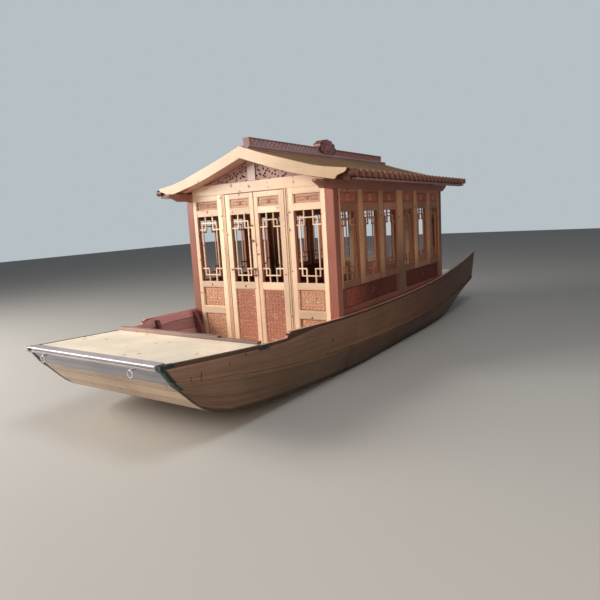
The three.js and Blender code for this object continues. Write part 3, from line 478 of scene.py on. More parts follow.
@dataclass(frozen=True)
class Iron:
    """Finish of painted or bright metal fittings."""

    name: str
    slot: str
    colour: Colour
    worn: Colour
    roughness: float = 0.4
    metallic: float = 0.6
    dust: float = 0.3
    dust_colour: Colour = (0.45, 0.42, 0.38)

    def material(self, effects: Effects) -> bpy.types.Material:
        """Build the finish.

        Args:
            effects: The shared node groups.

        Returns:
            The material.
        """
        material, wiring, chart, marks = start_material(self.name, effects)
        pits = wiring.noise(chart["Object"], 160.0, 4.0, 0.7)
        patch = wiring.spread(wiring.noise(chart["Object"], 38.0, 4.0, 0.6), 0.5, 0.68)
        colour = wiring.mix(patch, self.colour, self.worn)
        colour = wiring.mix(wiring.times(marks["Dust"], self.dust), colour, self.dust_colour)
        rough = wiring.spread(pits, 0.3, 0.7, self.roughness - 0.1, self.roughness + 0.2)
        bump = wiring.node("ShaderNodeBump", {"Height": pits, "Distance": 0.0008, "Strength": 0.5})
        shader = wiring.node("ShaderNodeBsdfPrincipled", {
            "Base Color": colour, "Roughness": rough, "Normal": bump.outputs[0], "Metallic": self.metallic,
        })
        wiring.node("ShaderNodeOutputMaterial", {"Surface": shader.outputs[0]})
        return material


# Finishes

UNCOATED = {"coat": 0.0, "tone_share": 0.08}
DULL = {"gloss": 0.15, **UNCOATED}
PINE = Timber(
    "varnished_pine", "clear_pine", tint(246, 214, 182), tint(216, 166, 132), knots=0.95,
    knot=tint(104, 58, 38),
)
EDGE_PINE = Timber(
    "barge_pine", "clear_pine", tint(196, 167, 135), tint(175, 136, 101), knots=0.25, knot=tint(128, 76, 44),
)
KING_PINE = Timber("king_pine", "red_stain", tint(183, 154, 144), tint(150, 116, 106), knots=0.1)
TOP_FIELD = Timber("top_field", "clear_pine", tint(199, 156, 130), tint(166, 119, 92), **UNCOATED)
TOP_RELIEF = Timber("top_relief", "clear_pine", tint(185, 120, 96), tint(133, 77, 61), **UNCOATED)
CARVED_PINE = Timber("carved_pine", "clear_pine", tint(209, 156, 132), tint(164, 107, 89), **DULL)
CARVED_GROUND = Timber("carved_ground", "clear_pine", tint(193, 126, 102), tint(148, 88, 71), **DULL)
BAY_CARVED = Timber("bay_carved", "clear_pine", tint(229, 191, 162), tint(198, 144, 115), **DULL)
BAY_GROUND = Timber("bay_ground", "clear_pine", tint(217, 158, 124), tint(178, 118, 89), **DULL)
# dark red-brown: a stain on the pull, and on the window strips partly a stain and partly painted shade of the
# reveals
REVEAL_STAIN_AND_SHADE = Timber("reveal_stain", "clear_pine", tint(148, 84, 64), tint(104, 54, 42))
# pale fir brightened as a painted sheen, and up to 1.22 times brighter still towards starboard as a painted
# reflection
DECK_FIR_AND_SHEEN = Timber(
    "deck_fir_and_painted_sheen", "pale_fir", tint(255, 242, 219), tint(247, 215, 183), knot=tint(170, 116, 88), knots=0.5,
    coat=0.35, roughness=0.38, ring_pitch=0.03, ring_share=0.35, tone_share=0.04,
    fades=((Axis.Y, -0.4, 0.85, 1.22),),
)
BOTTOM_FIR = Timber(
    "bottom_fir", "pale_fir", tint(218, 192, 166), tint(162, 126, 98), knot=tint(120, 76, 50), knots=0.35,
    roughness=0.45, ring_pitch=0.02, ring_share=0.6, streak_share=0.6, tone_share=0.12, plank=0.15,
)
SOLE_FIR = Timber(
    "sole_pine", "clear_pine", tint(196, 150, 112), tint(150, 104, 70), knots=0.25, plank=0.13,
    roughness=0.55,
)
RED = Timber("red_varnish", "red_stain", tint(172, 114, 102), tint(130, 74, 62), knots=0.06, gloss=0.25)
POST_RED = Timber("post_red", "red_stain", tint(156, 98, 82), tint(118, 64, 52), knots=0.06, gloss=0.25)
# painted light: the plate is 1.5 times brighter aft of X 1.42, along the cabin, than at its front end
PLATE_RED = Timber(
    "plate_red", "red_stain", tint(146, 100, 86), tint(107, 66, 56), gloss=0.25,
    fades=((Axis.X, 1.42, 1.6, 1.5),),
)
RED_DARK = Timber("dark_red_varnish", "red_stain", tint(122, 78, 73), tint(85, 46, 43), gloss=0.25)
FILLET = Timber("fillet_varnish", "cap_lacquer", tint(158, 150, 152), tint(131, 118, 121), gloss=0.25)
# painted light: up to 1.8 times brighter towards starboard than to port
COAMING = Timber(
    "coaming_varnish", "red_stain", tint(127, 102, 94), tint(101, 70, 63), coat=0.12, gloss=0.25,
    fades=((Axis.Y, -0.8, 0.6, 1.8),),
)
FASCIA_RED = Timber("fascia_red", "red_stain", tint(179, 138, 135), tint(138, 95, 91), gloss=0.25)
RIDGE_RED = Timber("ridge_red", "red_stain", tint(174, 117, 112), tint(128, 73, 69), gloss=0.25)
RIDGE_BASE = Timber("ridge_base_stain", "red_stain", tint(198, 165, 164), tint(155, 120, 118), gloss=0.25)
RIDGE_CARVED = Timber("ridge_carved", "red_stain", tint(196, 172, 176), tint(163, 128, 131), gloss=0.25)
RIDGE_END = Timber("ridge_end", "red_stain", tint(152, 118, 118), tint(122, 90, 90), gloss=0.2)
CREST_RED = Timber("crest_red", "red_stain", tint(101, 64, 63), tint(73, 39, 39), gloss=0.2)
CREST_CARVED = Timber("crest_carved", "red_stain", tint(142, 104, 102), tint(106, 68, 67), gloss=0.2)
# painted light: a paler colour on the roof slopes' undersides, where shade falls
SOFFIT_LIGHT = Timber("soffit_painted_light", "side_stain", tint(206, 164, 152), tint(160, 118, 108), gloss=0.1)
FRET_RED = Timber("fret_red", "red_stain", tint(190, 142, 132), tint(150, 102, 94), coat=0.0)
# painted shade: dark brown on the end faces of the roof slopes, barge boards, fascia and tile rows
END_SHADE = Timber("end_painted_shade", "red_stain", tint(104, 68, 54), tint(74, 44, 36), gloss=0.1)
TILE_BROWN = Timber("tile_brown", "red_stain", tint(171, 118, 99), tint(125, 74, 59), gloss=0.25)
# painted shade: the drip tiles, recessed between the round tiles, are darker than them
DRIP_SHADE = Timber("drip_tile_painted_shade", "red_stain", tint(121, 70, 58), tint(83, 41, 35), gloss=0.2)
# painted light and shade on the upper strakes: a highlight on the lowest 22 mm above the knuckle, shade on
# the top 28 mm under the sheer with a lighter 10 mm line below it, darker towards the stern with a warm shade
# tint, and lighter at the bow from X 2.75 forward
HULL_BROWN = Timber(
    "hull_varnish", "brown_stain", tint(161, 126, 105), tint(96, 67, 55), knots=0.3, coat=0.05, gloss=0.1,
    roughness=0.4, streak_share=0.6, aft_shade_tint=(1.1, 0.8, 0.58),
    bands=((SHEER, -0.028, 0.1, 0.4), (SHEER, -0.038, -0.028, 1.2), (KNUCKLE, -0.1, 0.022, 1.25)),
    cracks=((3.25, 0.5, 0.552), (3.163, 0.475, 0.565), (2.895, 0.53, 0.575)),
    fades=((Axis.X, -2.0, 1.3, 0.47), (Axis.X, 2.75, 3.25, 0.74)),
)
# painted light and shade on the lower strakes: a highlight on the top 22 mm under the knuckle, shade on the
# lowest 30 mm at the chine, darker towards the stern with a warm shade tint, and lighter at the bow from X
# 2.55 forward
STRAKE = Timber(
    "strake_varnish", "strake_stain", tint(144, 115, 92), tint(81, 60, 49), knots=0.25, coat=0.05, gloss=0.1,
    roughness=0.4, streak_share=0.7, aft_shade_tint=(1.05, 0.85, 0.7),
    bands=((KNUCKLE, -0.022, 0.1, 1.3), (CHINE, -0.1, 0.03, 0.4)),
    fades=((Axis.X, -0.6, 2.2, 0.5), (Axis.X, 2.55, 3.05, 0.74)),
)
INNER_RED = Timber(
    "inner_planking", "brown_stain", tint(194, 148, 151), tint(145, 97, 97), knots=0.15, gloss=0.25,
    plank=0.11,
)
# painted highlight: pale pink on the faces that look up along the sheer
SHEER_HIGHLIGHT = Timber("sheer_edge", "brown_stain", tint(200, 152, 136), tint(156, 108, 94), coat=0.3)
END_DARK = Timber("end_grain", "brown_stain", tint(56, 38, 34), tint(36, 24, 21), coat=0.0, gloss=0.2)
TRANSOM = Timber(
    "transom_varnish", "transom_stain", tint(176, 174, 185), tint(121, 113, 118), streak_share=0.8, coat=0.3,
)
# painted reflection: the lacquered wood's lilac-grey stands for the sky that it reflects
CAP_AND_REFLECTION = Timber(
    "cap_lacquer_wood", "cap_lacquer", tint(203, 194, 199), tint(180, 169, 177), coat=0.6, roughness=0.25,
)
# painted highlight: near-white along the cap's front edge
CAP_HIGHLIGHT = Timber(
    "cap_nosing", "cap_lacquer", tint(255, 250, 255), tint(244, 236, 246), coat=0.8, roughness=0.2,
    tone_share=0.02,
)
# painted shade: the side's frames, battens and middle post grow darker towards the bottom
SIDE = Timber(
    "side_varnish", "side_stain", tint(205, 142, 109), tint(145, 89, 67), knots=0.3, gloss=0.25,
    fades=((Axis.Z, 0.86, 1.45, 0.55),),
)
SIDE_RAIL = Timber("side_red_rail", "side_stain", tint(146, 88, 66), tint(100, 52, 38), knots=0.08, gloss=0.2)
SIDE_BATTEN = Timber(
    "side_batten_pine", "side_stain", tint(247, 185, 138), tint(194, 131, 91), knots=0.65,
    knot=tint(92, 48, 28), gloss=0.25, fades=((Axis.Z, 0.8, 1.2, 0.42),),
)
MID_POST = replace(SIDE_BATTEN, name="mid_post_pine", fades=((Axis.Z, 0.85, 1.65, 0.2),))
SIDE_TOP = Timber("side_top_panel", "side_stain", tint(200, 122, 97), tint(146, 78, 63), coat=0.0, gloss=0.2)
SIDE_TOP_CARVED = Timber("side_top_carved", "side_stain", tint(222, 147, 121), tint(171, 99, 79), coat=0.0)
# painted shade: the side's low carved panels grow darker aft of X 1.3
SIDE_AFT_SHADE = {"coat": 0.0, "gloss": 0.2, "fades": ((Axis.X, 0.6, 1.3, 0.36),)}
SIDE_CARVED = Timber("side_carved", "side_stain", tint(206, 116, 94), tint(147, 76, 63), **SIDE_AFT_SHADE)
SIDE_GROUND = Timber("side_ground", "side_stain", tint(175, 90, 74), tint(120, 59, 50), **SIDE_AFT_SHADE)
SIDE_REVEAL = Timber("side_reveal", "side_stain", tint(158, 98, 66), tint(112, 62, 42), gloss=0.2)
ROOFING = Timber(
    "roof_boards", "side_stain", tint(158, 118, 80), tint(112, 80, 54), knots=0.05, coat=0.05, gloss=0.2,
    roughness=0.55, tone_share=0.1, plank=0.2,
)
IRON = Iron("dark_iron_paint", "dark_iron", tint(50, 66, 62), tint(84, 96, 90))
STEEL = Iron(
    "bright_ring", "dark_iron", tint(214, 212, 214), tint(170, 166, 168), roughness=0.3, metallic=0.9,
)


# Bench tools


class Bench:
    """Operator calls that every sub-assembly uses."""

    effects: Effects
    serial = 0

    @classmethod
    def next_board(cls) -> int:
        """Number of the next board, which picks its stretch of grain."""
        cls.serial += 1
        return cls.serial

    @staticmethod
    def shut() -> None:
        """Leave edit mode."""
        bpy.ops.object.mode_set(mode="OBJECT")

    @classmethod
    def clear(cls) -> None:
        """Leave edit mode and deselect everything."""
        if bpy.context.object and bpy.context.object.mode != "OBJECT":
            cls.shut()
        bpy.ops.object.select_all(action="DESELECT")

    @classmethod
    def take(cls, *pieces: Piece) -> None:
        """Select pieces and make the first the active one."""
        cls.clear()
        for piece in pieces:
            piece.select_set(True)
        bpy.context.view_layer.objects.active = pieces[0]

    @staticmethod
    def open(action: str = "SELECT") -> None:
        """Put the active piece in edit mode and select or deselect all of it."""
        bpy.ops.object.mode_set(mode="EDIT")
        bpy.ops.mesh.select_all(action=action)

    @staticmethod
    def bake() -> None:
        """Bake the selected pieces' places into their meshes."""
        bpy.ops.object.transform_apply(location=True, rotation=True, scale=True)

    @classmethod
    def add(cls, operator: Callable[..., set], **settings: object) -> Piece:
        """Add a primitive by itself, with its place in its mesh.

        Args:
            operator: The operator that adds it.
            settings: Its size and place.

        Returns:
            The piece.
        """
        cls.clear()
        operator(**settings)
        cls.bake()
        return bpy.context.object

    @classmethod
    def apply(cls, piece: Piece, kind: str, **settings: object) -> None:
        """Give a piece a modifier and apply it.

        Args:
            piece: The piece.
            kind: Kind of the modifier.
            settings: Its settings.
        """
        cls.take(piece)
        modifier = piece.modifiers.new(kind.lower(), kind)
        for name, value in settings.items():
            setattr(modifier, name, value)
        bpy.ops.object.modifier_apply(modifier=modifier.name)

    @classmethod
    def smooth(cls, piece: Piece, degrees: float) -> None:
        """Shade a piece smooth where it bends by less than an angle."""
        cls.take(piece)
        bpy.ops.object.shade_smooth_by_angle(angle=math.radians(degrees))

    @classmethod
    def settle(cls, piece: Piece, matrix: Matrix) -> None:
        """Move a piece, still at the origin, by a matrix and bake its place into the mesh."""
        cls.take(piece)
        piece.matrix_world = matrix
        cls.bake()

    @classmethod
    def copy(cls, piece: Piece, matrix: Matrix) -> Piece:
        """Copy a piece with its own mesh and settle the copy.

        Args:
            piece: The piece modelled once, at the origin.
            matrix: Where the copy goes.

        Returns:
            The copy.
        """
        twin = piece.copy()
        twin.data = piece.data.copy()
        bpy.context.scene.collection.objects.link(twin)
        cls.settle(twin, matrix)
        if matrix.to_3x3().determinant() < 0:
            cls.outward(twin)
        return twin

    @classmethod
    def outward(cls, piece: Piece) -> None:
        """Turn the faces of a closed mesh outwards."""
        cls.take(piece)
        cls.open()
        bpy.ops.mesh.remove_doubles(threshold=MERGE)
        bpy.ops.mesh.normals_make_consistent(inside=False)
        cls.shut()

    @classmethod
    def join(cls, name: str, pieces: Sequence[Piece]) -> Piece:
        """Join pieces into one.

        Args:
            name: Name of the result.
            pieces: What goes into it.

        Returns:
            The joined piece.
        """
        cls.take(*pieces)
        if len(pieces) > 1:
            bpy.ops.object.join()
        joined = bpy.context.view_layer.objects.active
        return cls.christen(joined, name)

    @staticmethod
    def christen(piece: Piece, name: str) -> Piece:
        """Name a piece and its mesh."""
        piece.name = name
        piece.data.name = name
        return piece

    @classmethod
    def bevel(cls, piece: Piece, width: float, segments: int = 2) -> None:
        """Ease the edges of a piece."""
        rule = {"limit_method": "ANGLE", "angle_limit": math.radians(32)}
        cls.apply(piece, "BEVEL", width=width, segments=segments, **rule)

    @classmethod
    def cut(cls, piece: Piece, cutter: Piece) -> None:
        """Cut one piece out of another and throw the cutter away."""
        cls.apply(piece, "BOOLEAN", operation="DIFFERENCE", solver="EXACT", use_self=True, object=cutter)
        bpy.data.objects.remove(cutter)

    @classmethod
    def largest(cls, piece: Piece) -> Piece:
        """Drop the chips that cuts have freed from a piece.

        Args:
            piece: The piece.

        Returns:
            What is left of it.
        """
        name = piece.name
        cls.take(piece)
        bpy.ops.mesh.separate(type="LOOSE")
        *chips, kept = sorted(bpy.context.selected_objects, key=lambda part: len(part.data.polygons))
        for chip in chips:
            bpy.data.objects.remove(chip)
        return cls.christen(kept, name)

    @classmethod
    def slice(cls, piece: Piece, point: Sequence[float], normal: Sequence[float]) -> None:
        """Cut away what lies beyond a plane and close the piece.

        Args:
            piece: The piece.
            point: A point of the plane.
            normal: Direction of the part that goes.
        """
        cls.take(piece)
        cls.open()
        bpy.ops.mesh.bisect(plane_co=point, plane_no=normal, clear_outer=True, use_fill=True)
        cls.shut()

    @classmethod
    def material(cls, finish: Timber | Iron) -> bpy.types.Material:
        """Give a finish's material, built at its first use."""
        return bpy.data.materials.get(finish.name) or finish.material(cls.effects)

    @classmethod
    def line(cls, piece: Piece, main: Timber, *others: tuple[Timber, Callable[..., bool]]) -> None:
        """Give a piece several finishes.

        Args:
            piece: The piece.
            main: Its main finish.
            others: Further finishes, each with a test that tells whether a face has it.
        """
        for finish in (main, *(other for other, _ in others)):
            piece.data.materials.append(cls.material(finish))
        for face in piece.data.polygons:
            for index, (_, chosen) in enumerate(others):
                if chosen(face):
                    face.material_index = index + 1

    @classmethod
    def finish(cls, piece: Piece, finish: Timber | Iron, *nodes: str, body: str = BODY) -> None:
        """Give a piece its finish and its body, and hide the CAD nodes that it stands for.

        Args:
            piece: The piece.
            finish: Its finish.
            nodes: CAD nodes that it replaces.
            body: Body that it rides on.
        """
        if not piece.data.materials:
            piece.data.materials.append(cls.material(finish))
        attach(piece, body)
        if nodes:
            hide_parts(*nodes)
        LOG.info("%s: %d faces", piece.name, len(piece.data.polygons))


def lay_grain(piece: Piece, along: Axis, only_selected: bool = False) -> None:
    """Lay U along the grain and V across it, with a stretch of grain of its own for each board.

    Args:
        piece: The piece, in edit mode.
        along: Axis that the grain runs along.
        only_selected: Whether only the selected faces are laid.
    """
    end_grain, slant = 0.3, 0.37
    mesh = bmesh.from_edit_mesh(piece.data)
    layer = mesh.loops.layers.uv.verify()
    board = Bench.next_board()
    chance = random.Random(board)
    shift_u = BOARD_STRIDE * (board + 0.5) + chance.uniform(-1.0, 1.0)
    shift_v = chance.uniform(0.0, 5.0)
    a = along.value
    for face in mesh.faces:
        if only_selected and not face.select:
            continue
        normal = max(range(3), key=lambda k: abs(face.normal[k]))
        first, second = [k for k in range(3) if k != a]
        across = 3 - a - normal
        for loop in face.loops:
            place = loop.vert.co
            if normal == a:
                loop[layer].uv = (place[first] * end_grain + shift_u, place[second] + shift_v)
            else:
                loop[layer].uv = (place[a] + shift_u, place[across] + slant * place[normal] + shift_v)
    bmesh.update_edit_mesh(piece.data)


def regrain(piece: Piece, along: Axis) -> None:
    """Lay the grain of a finished piece, along an axis, over all of it."""
    Bench.take(piece)
    Bench.open()
    lay_grain(piece, along)
    Bench.shut()


@dataclass
class Stack:
    """One piece built up of boards, each a box with eased edges and its own grain."""

    name: str
    boards: list[tuple[Range, Range, Range, Axis]] = field(default_factory=list)

    def board(self, x: Range, y: Range, z: Range, along: Axis) -> "Stack":
        """Note a board.

        Args:
            x: Where it starts and ends along X.
            y: The same along Y.
            z: The same along Z.
            along: Axis that its grain runs along.

        Returns:
            The stack.
        """
        self.boards.append((x, y, z, along))
        return self

    def done(self, ease: float = 0.002, matrix: Matrix | None = None) -> Piece:
        """Build the boards, ease their edges and put the piece in its place.

        Args:
            ease: Width of the eased edges.
            matrix: Where the piece goes, or nothing if it is there.

        Returns:
            The piece.
        """
        piece = None
        for *ranges, along in self.boards:
            centre = [(low + high) / 2 for low, high in ranges]
            size = [abs(high - low) for low, high in ranges]
            if piece is None:
                piece = Bench.add(bpy.ops.mesh.primitive_cube_add, size=1, location=centre, scale=size)
                Bench.open()
            else:
                bpy.ops.mesh.select_all(action="DESELECT")
                bpy.ops.mesh.primitive_cube_add(size=1, location=centre, scale=size)
            lay_grain(piece, along, only_selected=True)
        Bench.shut()
        Bench.christen(piece, self.name)
        if ease:
            Bench.bevel(piece, ease)
        if matrix is not None:
            Bench.settle(piece, matrix)
        return piece


def eased_copy(node: str, name: str, along: Axis, ease: float, smooth: bool = False) -> Piece:
    """Copy a CAD node, merge its loose triangles, lay its grain and ease its edges.

    Args:
        node: The CAD node.
        name: Name of the copy.
        along: Axis that the grain runs along.
        ease: Width of the eased edges.
        smooth: Whether gentle bends are shaded smooth.

    Returns:
        The copy.
    """
    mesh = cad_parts[node].data.copy()
    mesh.materials.clear()
    piece = Bench.christen(bpy.data.objects.new(name, mesh), name)
    bpy.context.scene.collection.objects.link(piece)
    Bench.take(piece)
    Bench.open()
    bpy.ops.mesh.remove_doubles(threshold=MERGE)
    bpy.ops.mesh.dissolve_limited(angle_limit=math.radians(0.6))
    lay_grain(piece, along)
    Bench.shut()
    if ease:
        Bench.bevel(piece, ease)
    if smooth:
        Bench.smooth(piece, 25)
    return piece


def skin_patch(node: str, name: str, hand: Hand, cuts: Sequence[tuple[tuple, tuple]], thick: float) -> Piece:
    """Lift a stretch of a strake's outer skin, top edge and front end off it as a thin plate.

    Args:
        node: The strake's CAD node.
        name: Name of the plate.
        hand: Side of the boat.
        cuts: Point and normal of each plane; what lies beyond it goes.
        thick: Thickness of the plate.

    Returns:
        The plate.
    """
    piece = eased_copy(node, name, Axis.X, 0.0)
    Bench.take(piece)
    for point, normal in cuts:
        Bench.open()
        bpy.ops.mesh.bisect(plane_co=point, plane_no=normal, clear_outer=True)
    Bench.open("DESELECT")
    Bench.shut()
    for face in piece.data.polygons:
        face.select = face.normal.y * hand.value < 0.5 and face.normal.z < 0.75 and face.normal.x < 0.5
    bpy.ops.object.mode_set(mode="EDIT")
    bpy.ops.mesh.delete(type="FACE")
    Bench.shut()
    Bench.apply(piece, "SOLIDIFY", thickness=thick, offset=1.0)
    return piece


# Carving


class Ornament:
    """Carved forms, each modelled once about 80 mm across and copied into the panels."""

    width = 0.08

    def __init__(self) -> None:
        """Model every form."""
        self.curl = self._curl()
        self.comma = self._comma()
        self.rosette = self._rosette()
        # vertices, radius, share of the width, then how far each tier narrows and rises
        self.leaf = self._tiers("leaf_model", 10, 0.045, 0.42, ((0.72, 0.5, 0.004), (0.6, 0.2, 0.004)))
        self.petal = self._tiers(
            "petal_model", 12, 0.04, 0.62, ((0.95, 0.95, 0.01), (0.78, 0.78, 0.006), (0.45, 0.45, 0.003))
        )

    def forget(self) -> None:
        """Remove the models after the last copy."""
        for piece in (self.curl, self.comma, self.rosette, self.leaf, self.petal):
            bpy.data.objects.remove(piece)

    @staticmethod
    def _keep(name: str) -> Piece:
        """Name the active piece, turn its faces outwards, lay its grain and shade it."""
        piece = bpy.context.object
        piece.name = name
        Bench.outward(piece)
        regrain(piece, Axis.X)
        Bench.smooth(piece, 40)
        return piece

    @staticmethod
    def _section(radius: float, place: float) -> None:
        """Start a spun form with its upright six-sided section."""
        Bench.add(
            bpy.ops.mesh.primitive_circle_add, vertices=6, radius=radius, fill_type="NGON",
            location=(place, 0, 0), rotation=(math.pi / 2, 0, 0),
        )
        Bench.open()

    def _curl(self) -> Piece:
        """Model a scroll that winds in by half turns and thins towards its eye."""
        self._section(0.0085, 0.04)
        for centre, steps, thin in ((0.004, 5, 0.86), (-0.004, 5, 0.84), (-0.008, 4, 0.8)):
            bpy.ops.mesh.spin(steps=steps, angle=math.pi, center=(centre, 0, 0), axis=(0, 0, 1))
            bpy.ops.transform.resize(value=(thin, thin, thin))
        return self._keep("curl_model")

    def _comma(self) -> Piece:
        """Model a short thick bow, as a fret saw leaves it."""
        self._section(0.018, 0.020)
        bpy.ops.mesh.spin(steps=4, angle=math.radians(90), center=(0, 0, 0), axis=(0, 0, 1))
        bpy.ops.transform.resize(value=(0.6, 0.6, 1.0))
        return self._keep("comma_model")

    def _rosette(self) -> Piece:
        """Model a boss with eight petals round it."""
        sphere = bpy.ops.mesh.primitive_uv_sphere_add
        Bench.add(sphere, segments=8, ring_count=4, radius=0.014, location=(0, 0, 0), scale=(1, 1, 0.6))
        Bench.open()
        for k in range(8):
            angle = math.tau * k / 8
            bpy.ops.mesh.select_all(action="DESELECT")
            sphere(
                segments=6, ring_count=4, radius=0.016, rotation=(0, 0, angle), scale=(1.05, 0.62, 0.45),
                location=(0.032 * math.cos(angle), 0.032 * math.sin(angle), 0),
            )
        return self._keep("rosette_model")

    def _tiers(self, name: str, vertices: int, radius: float, wide: float, tiers: Sequence[tuple]) -> Piece:
        """Model a leaf or a petal that rises in tiers.

        Args:
            name: Name of the model.
            vertices: Corners of its outline.
            radius: Half its length.
            wide: Its width against its length.
            tiers: How far each tier narrows along and across, and its rise.

        Returns:
            The model.
        """
        Bench.add(bpy.ops.mesh.primitive_circle_add, vertices=vertices, radius=radius, fill_type="TRIFAN")
        Bench.open()
        bpy.ops.transform.resize(value=(1.0, wide, 1.0))
        for along, across, rise in tiers:
            bpy.ops.mesh.extrude_region_move(TRANSFORM_OT_translate={"value": (0, 0, rise)})
            bpy.ops.transform.resize(value=(along, across, 1.0))
        return self._keep(name)

    @staticmethod
    def stamp(model: Piece, at: Sequence[float], size: float, turn: float = 0.0, flip: bool = False) -> Piece:
        """Copy a carved form into a panel.

        Args:
            model: The form.
            at: Where its middle goes.
            size: Its size against the model's.
            turn: Turn about the panel's normal, in degrees.
            flip: Whether it is mirrored.

        Returns:
            The copy.
        """
        scale = Matrix.Diagonal((-size if flip else size, size, min(size, 1.0), 1.0))
        return Bench.copy(model, Matrix.Translation(at) @ Matrix.Rotation(math.radians(turn), 4, "Z") @ scale)

    def field(self, u: Range, v: Range, n: float, pitch: float) -> list[Piece]:
        """Fill a panel with carving that mirrors about its upright middle line.

        Args:
            u: Where the panel starts and ends across it.
            v: The same along its height.
            n: Depth of its ground.
            pitch: Distance from one form to the next.

        Returns:
            The copies.
        """
        middle = (u[0] + u[1]) / 2
        half = (u[1] - u[0]) / 2
        columns = max(round(half / pitch), 1)
        rows = max(round((v[1] - v[0]) / pitch), 1)
        step = (v[1] - v[0]) / rows
        chance = random.Random(columns * 31 + rows)
        parts = [self.stamp(self.rosette, (middle, (v[0] + v[1]) / 2, n + 0.001), 1.5 * pitch / self.width)]
        for row in range(rows):
            height = v[0] + (row + 0.5) * step
            for column in range(columns):
                away = (column + 0.5) * half / columns
                model = chance.choice((self.curl, self.curl, self.curl, self.leaf))
                turn = chance.choice((0, 60, 120, 180, 240, 300))
                size = chance.uniform(0.85, 1.1) * pitch / self.width
                for side in (1, -1):
                    at = (middle + side * away, height, n)
                    parts.append(self.stamp(model, at, size, side * turn, side < 0))
        return parts


# Cabin walls


@dataclass(frozen=True)
class Wall:
    """Local frame of a wall: u to the right hand seen from outside, v up, n out of the wall."""

    origin: Place
    across: Place
    out: Place

    def matrix(self) -> Matrix:
        """Matrix from the wall's frame to the boat's."""
        columns = (Vector(self.across), Vector((0, 0, 1)), Vector(self.out))
        return Matrix.Translation(self.origin) @ Matrix(columns).transposed().to_4x4()


FRONT = Wall((1.410, 0.0, 0.0), (0, 1, 0), (1, 0, 0))
REAR = Wall((-1.560, 0.0, 0.0), (0, -1, 0), (-1, 0, 0))
PORT = Wall((0.0, 0.950, 0.0), (-1, 0, 0), (0, 1, 0))
STARBOARD = Wall((0.0, -0.950, 0.0), (1, 0, 0), (0, -1, 0))


def span(side: int, low: float, high: float) -> Range:
    """Range on one side of a middle line."""
    return (low, high) if side > 0 else (-high, -low)


def inset(pair: Range, margin: float) -> Range:
    """Range made shorter at both ends."""
    return pair[0] + margin, pair[1] - margin


@dataclass
class Lattice:
    """Bars of one window."""

    bar: float = 0.013
    thick: float = 0.018
    # how much less an upright stands out than a level bar
    step: float = 0.0012
    # u from, u to, v from, v to, as fractions of the window
    rows: Rows = (
        (0.14, 0.14, 0.1, 0.9), (0.86, 0.86, 0.1, 0.9), (0.14, 0.86, 0.1, 0.1), (0.14, 0.86, 0.9, 0.9),
        (0, 0.32, 0.2, 0.2), (0.68, 1, 0.2, 0.2), (0, 0.32, 0.8, 0.8), (0.68, 1, 0.8, 0.8),
        (0.32, 0.32, 0, 0.2), (0.68, 0.68, 0, 0.2), (0.32, 0.32, 0.8, 1), (0.68, 0.68, 0.8, 1),
    )

    def lay(self, stack: Stack, u: Range, v: Range, n: float) -> None:
        """Add the bars to a stack.

        Args:
            stack: The stack.
            u: Window from side to side.
            v: Window from bottom to top.
            n: Middle of the bars' thickness.
        """
        half = self.bar / 2
        for u0, u1, v0, v1 in self.rows:
            reach_u = (u[0] + (u[1] - u[0]) * u0 - half, u[0] + (u[1] - u[0]) * u1 + half)
            reach_v = (v[0] + (v[1] - v[0]) * v0 - half, v[0] + (v[1] - v[0]) * v1 + half)
            upright = u0 == u1
            proud = self.thick / 2 - (self.step if upright else 0.0)
            stack.board(reach_u, reach_v, (n - proud, n + proud), Axis.Y if upright else Axis.X)


@dataclass
class Panel:
    """Finishes and depths of the carved panels of one kind of frame."""

    ornament: Ornament
    face: float
    ground: float
    field: float
    low_finish: Timber
    raised_finish: Timber
    relief_finish: Timber
    pitch: float = 0.043
    border: float = 0.02
    board: float = 0.012
    bead: float = 0.008
    # share of the raised field that stays plain at each end and at top and bottom
    margin_u: float = 0.02
    margin_v: float = 0.02

    def build(self, name: str, body: str, matrix: Matrix, spaces: Sequence[tuple[Range, Range]]) -> None:
        """Build a sunk ground, a raised field and its carving in each space.

        Args:
            name: Name that the pieces start with.
            body: Body that they ride on.
            matrix: Matrix from the wall's frame to the boat's.
            spaces: From side to side and from bottom to top, of each panel.
        """
        ground = Stack(f"{name}_ground")
        raised = Stack(f"{name}_field")
        parts: list[Piece] = []
        for u, v in spaces:
            ground.board(u, v, (self.ground - self.board, self.ground), Axis.X)
            inner_u, inner_v = inset(u, self.border), inset(v, self.border * 0.8)
            raised.board(inner_u, inner_v, (self.ground - 0.001, self.field), Axis.X)
            carved_u = inset(inner_u, self.margin_u * (inner_u[1] - inner_u[0]))
            carved_v = inset(inner_v, self.margin_v * (inner_v[1] - inner_v[0]))
            parts += self.ornament.field(carved_u, carved_v, self.field, self.pitch)
        Bench.finish(ground.done(0.001, matrix), self.low_finish, body=body)
        Bench.finish(raised.done(0.003, matrix), self.raised_finish, body=body)
        relief = Bench.join(f"{name}_carving", parts)
        Bench.settle(relief, matrix)
        Bench.finish(relief, self.relief_finish, body=body)

    def beads(self, stack: Stack, u: Range, v: Range) -> None:
        """Add the four beads round a panel to a frame."""
        deep = (self.ground - 0.002, self.face - 0.004)
        for edge in ((u[0], u[0] + self.bead), (u[1] - self.bead, u[1])):
            stack.board(edge, v, deep, Axis.Y)
        for edge in ((v[0], v[0] + self.bead), (v[1] - self.bead, v[1])):
            stack.board(inset(u, self.bead), edge, deep, Axis.X)


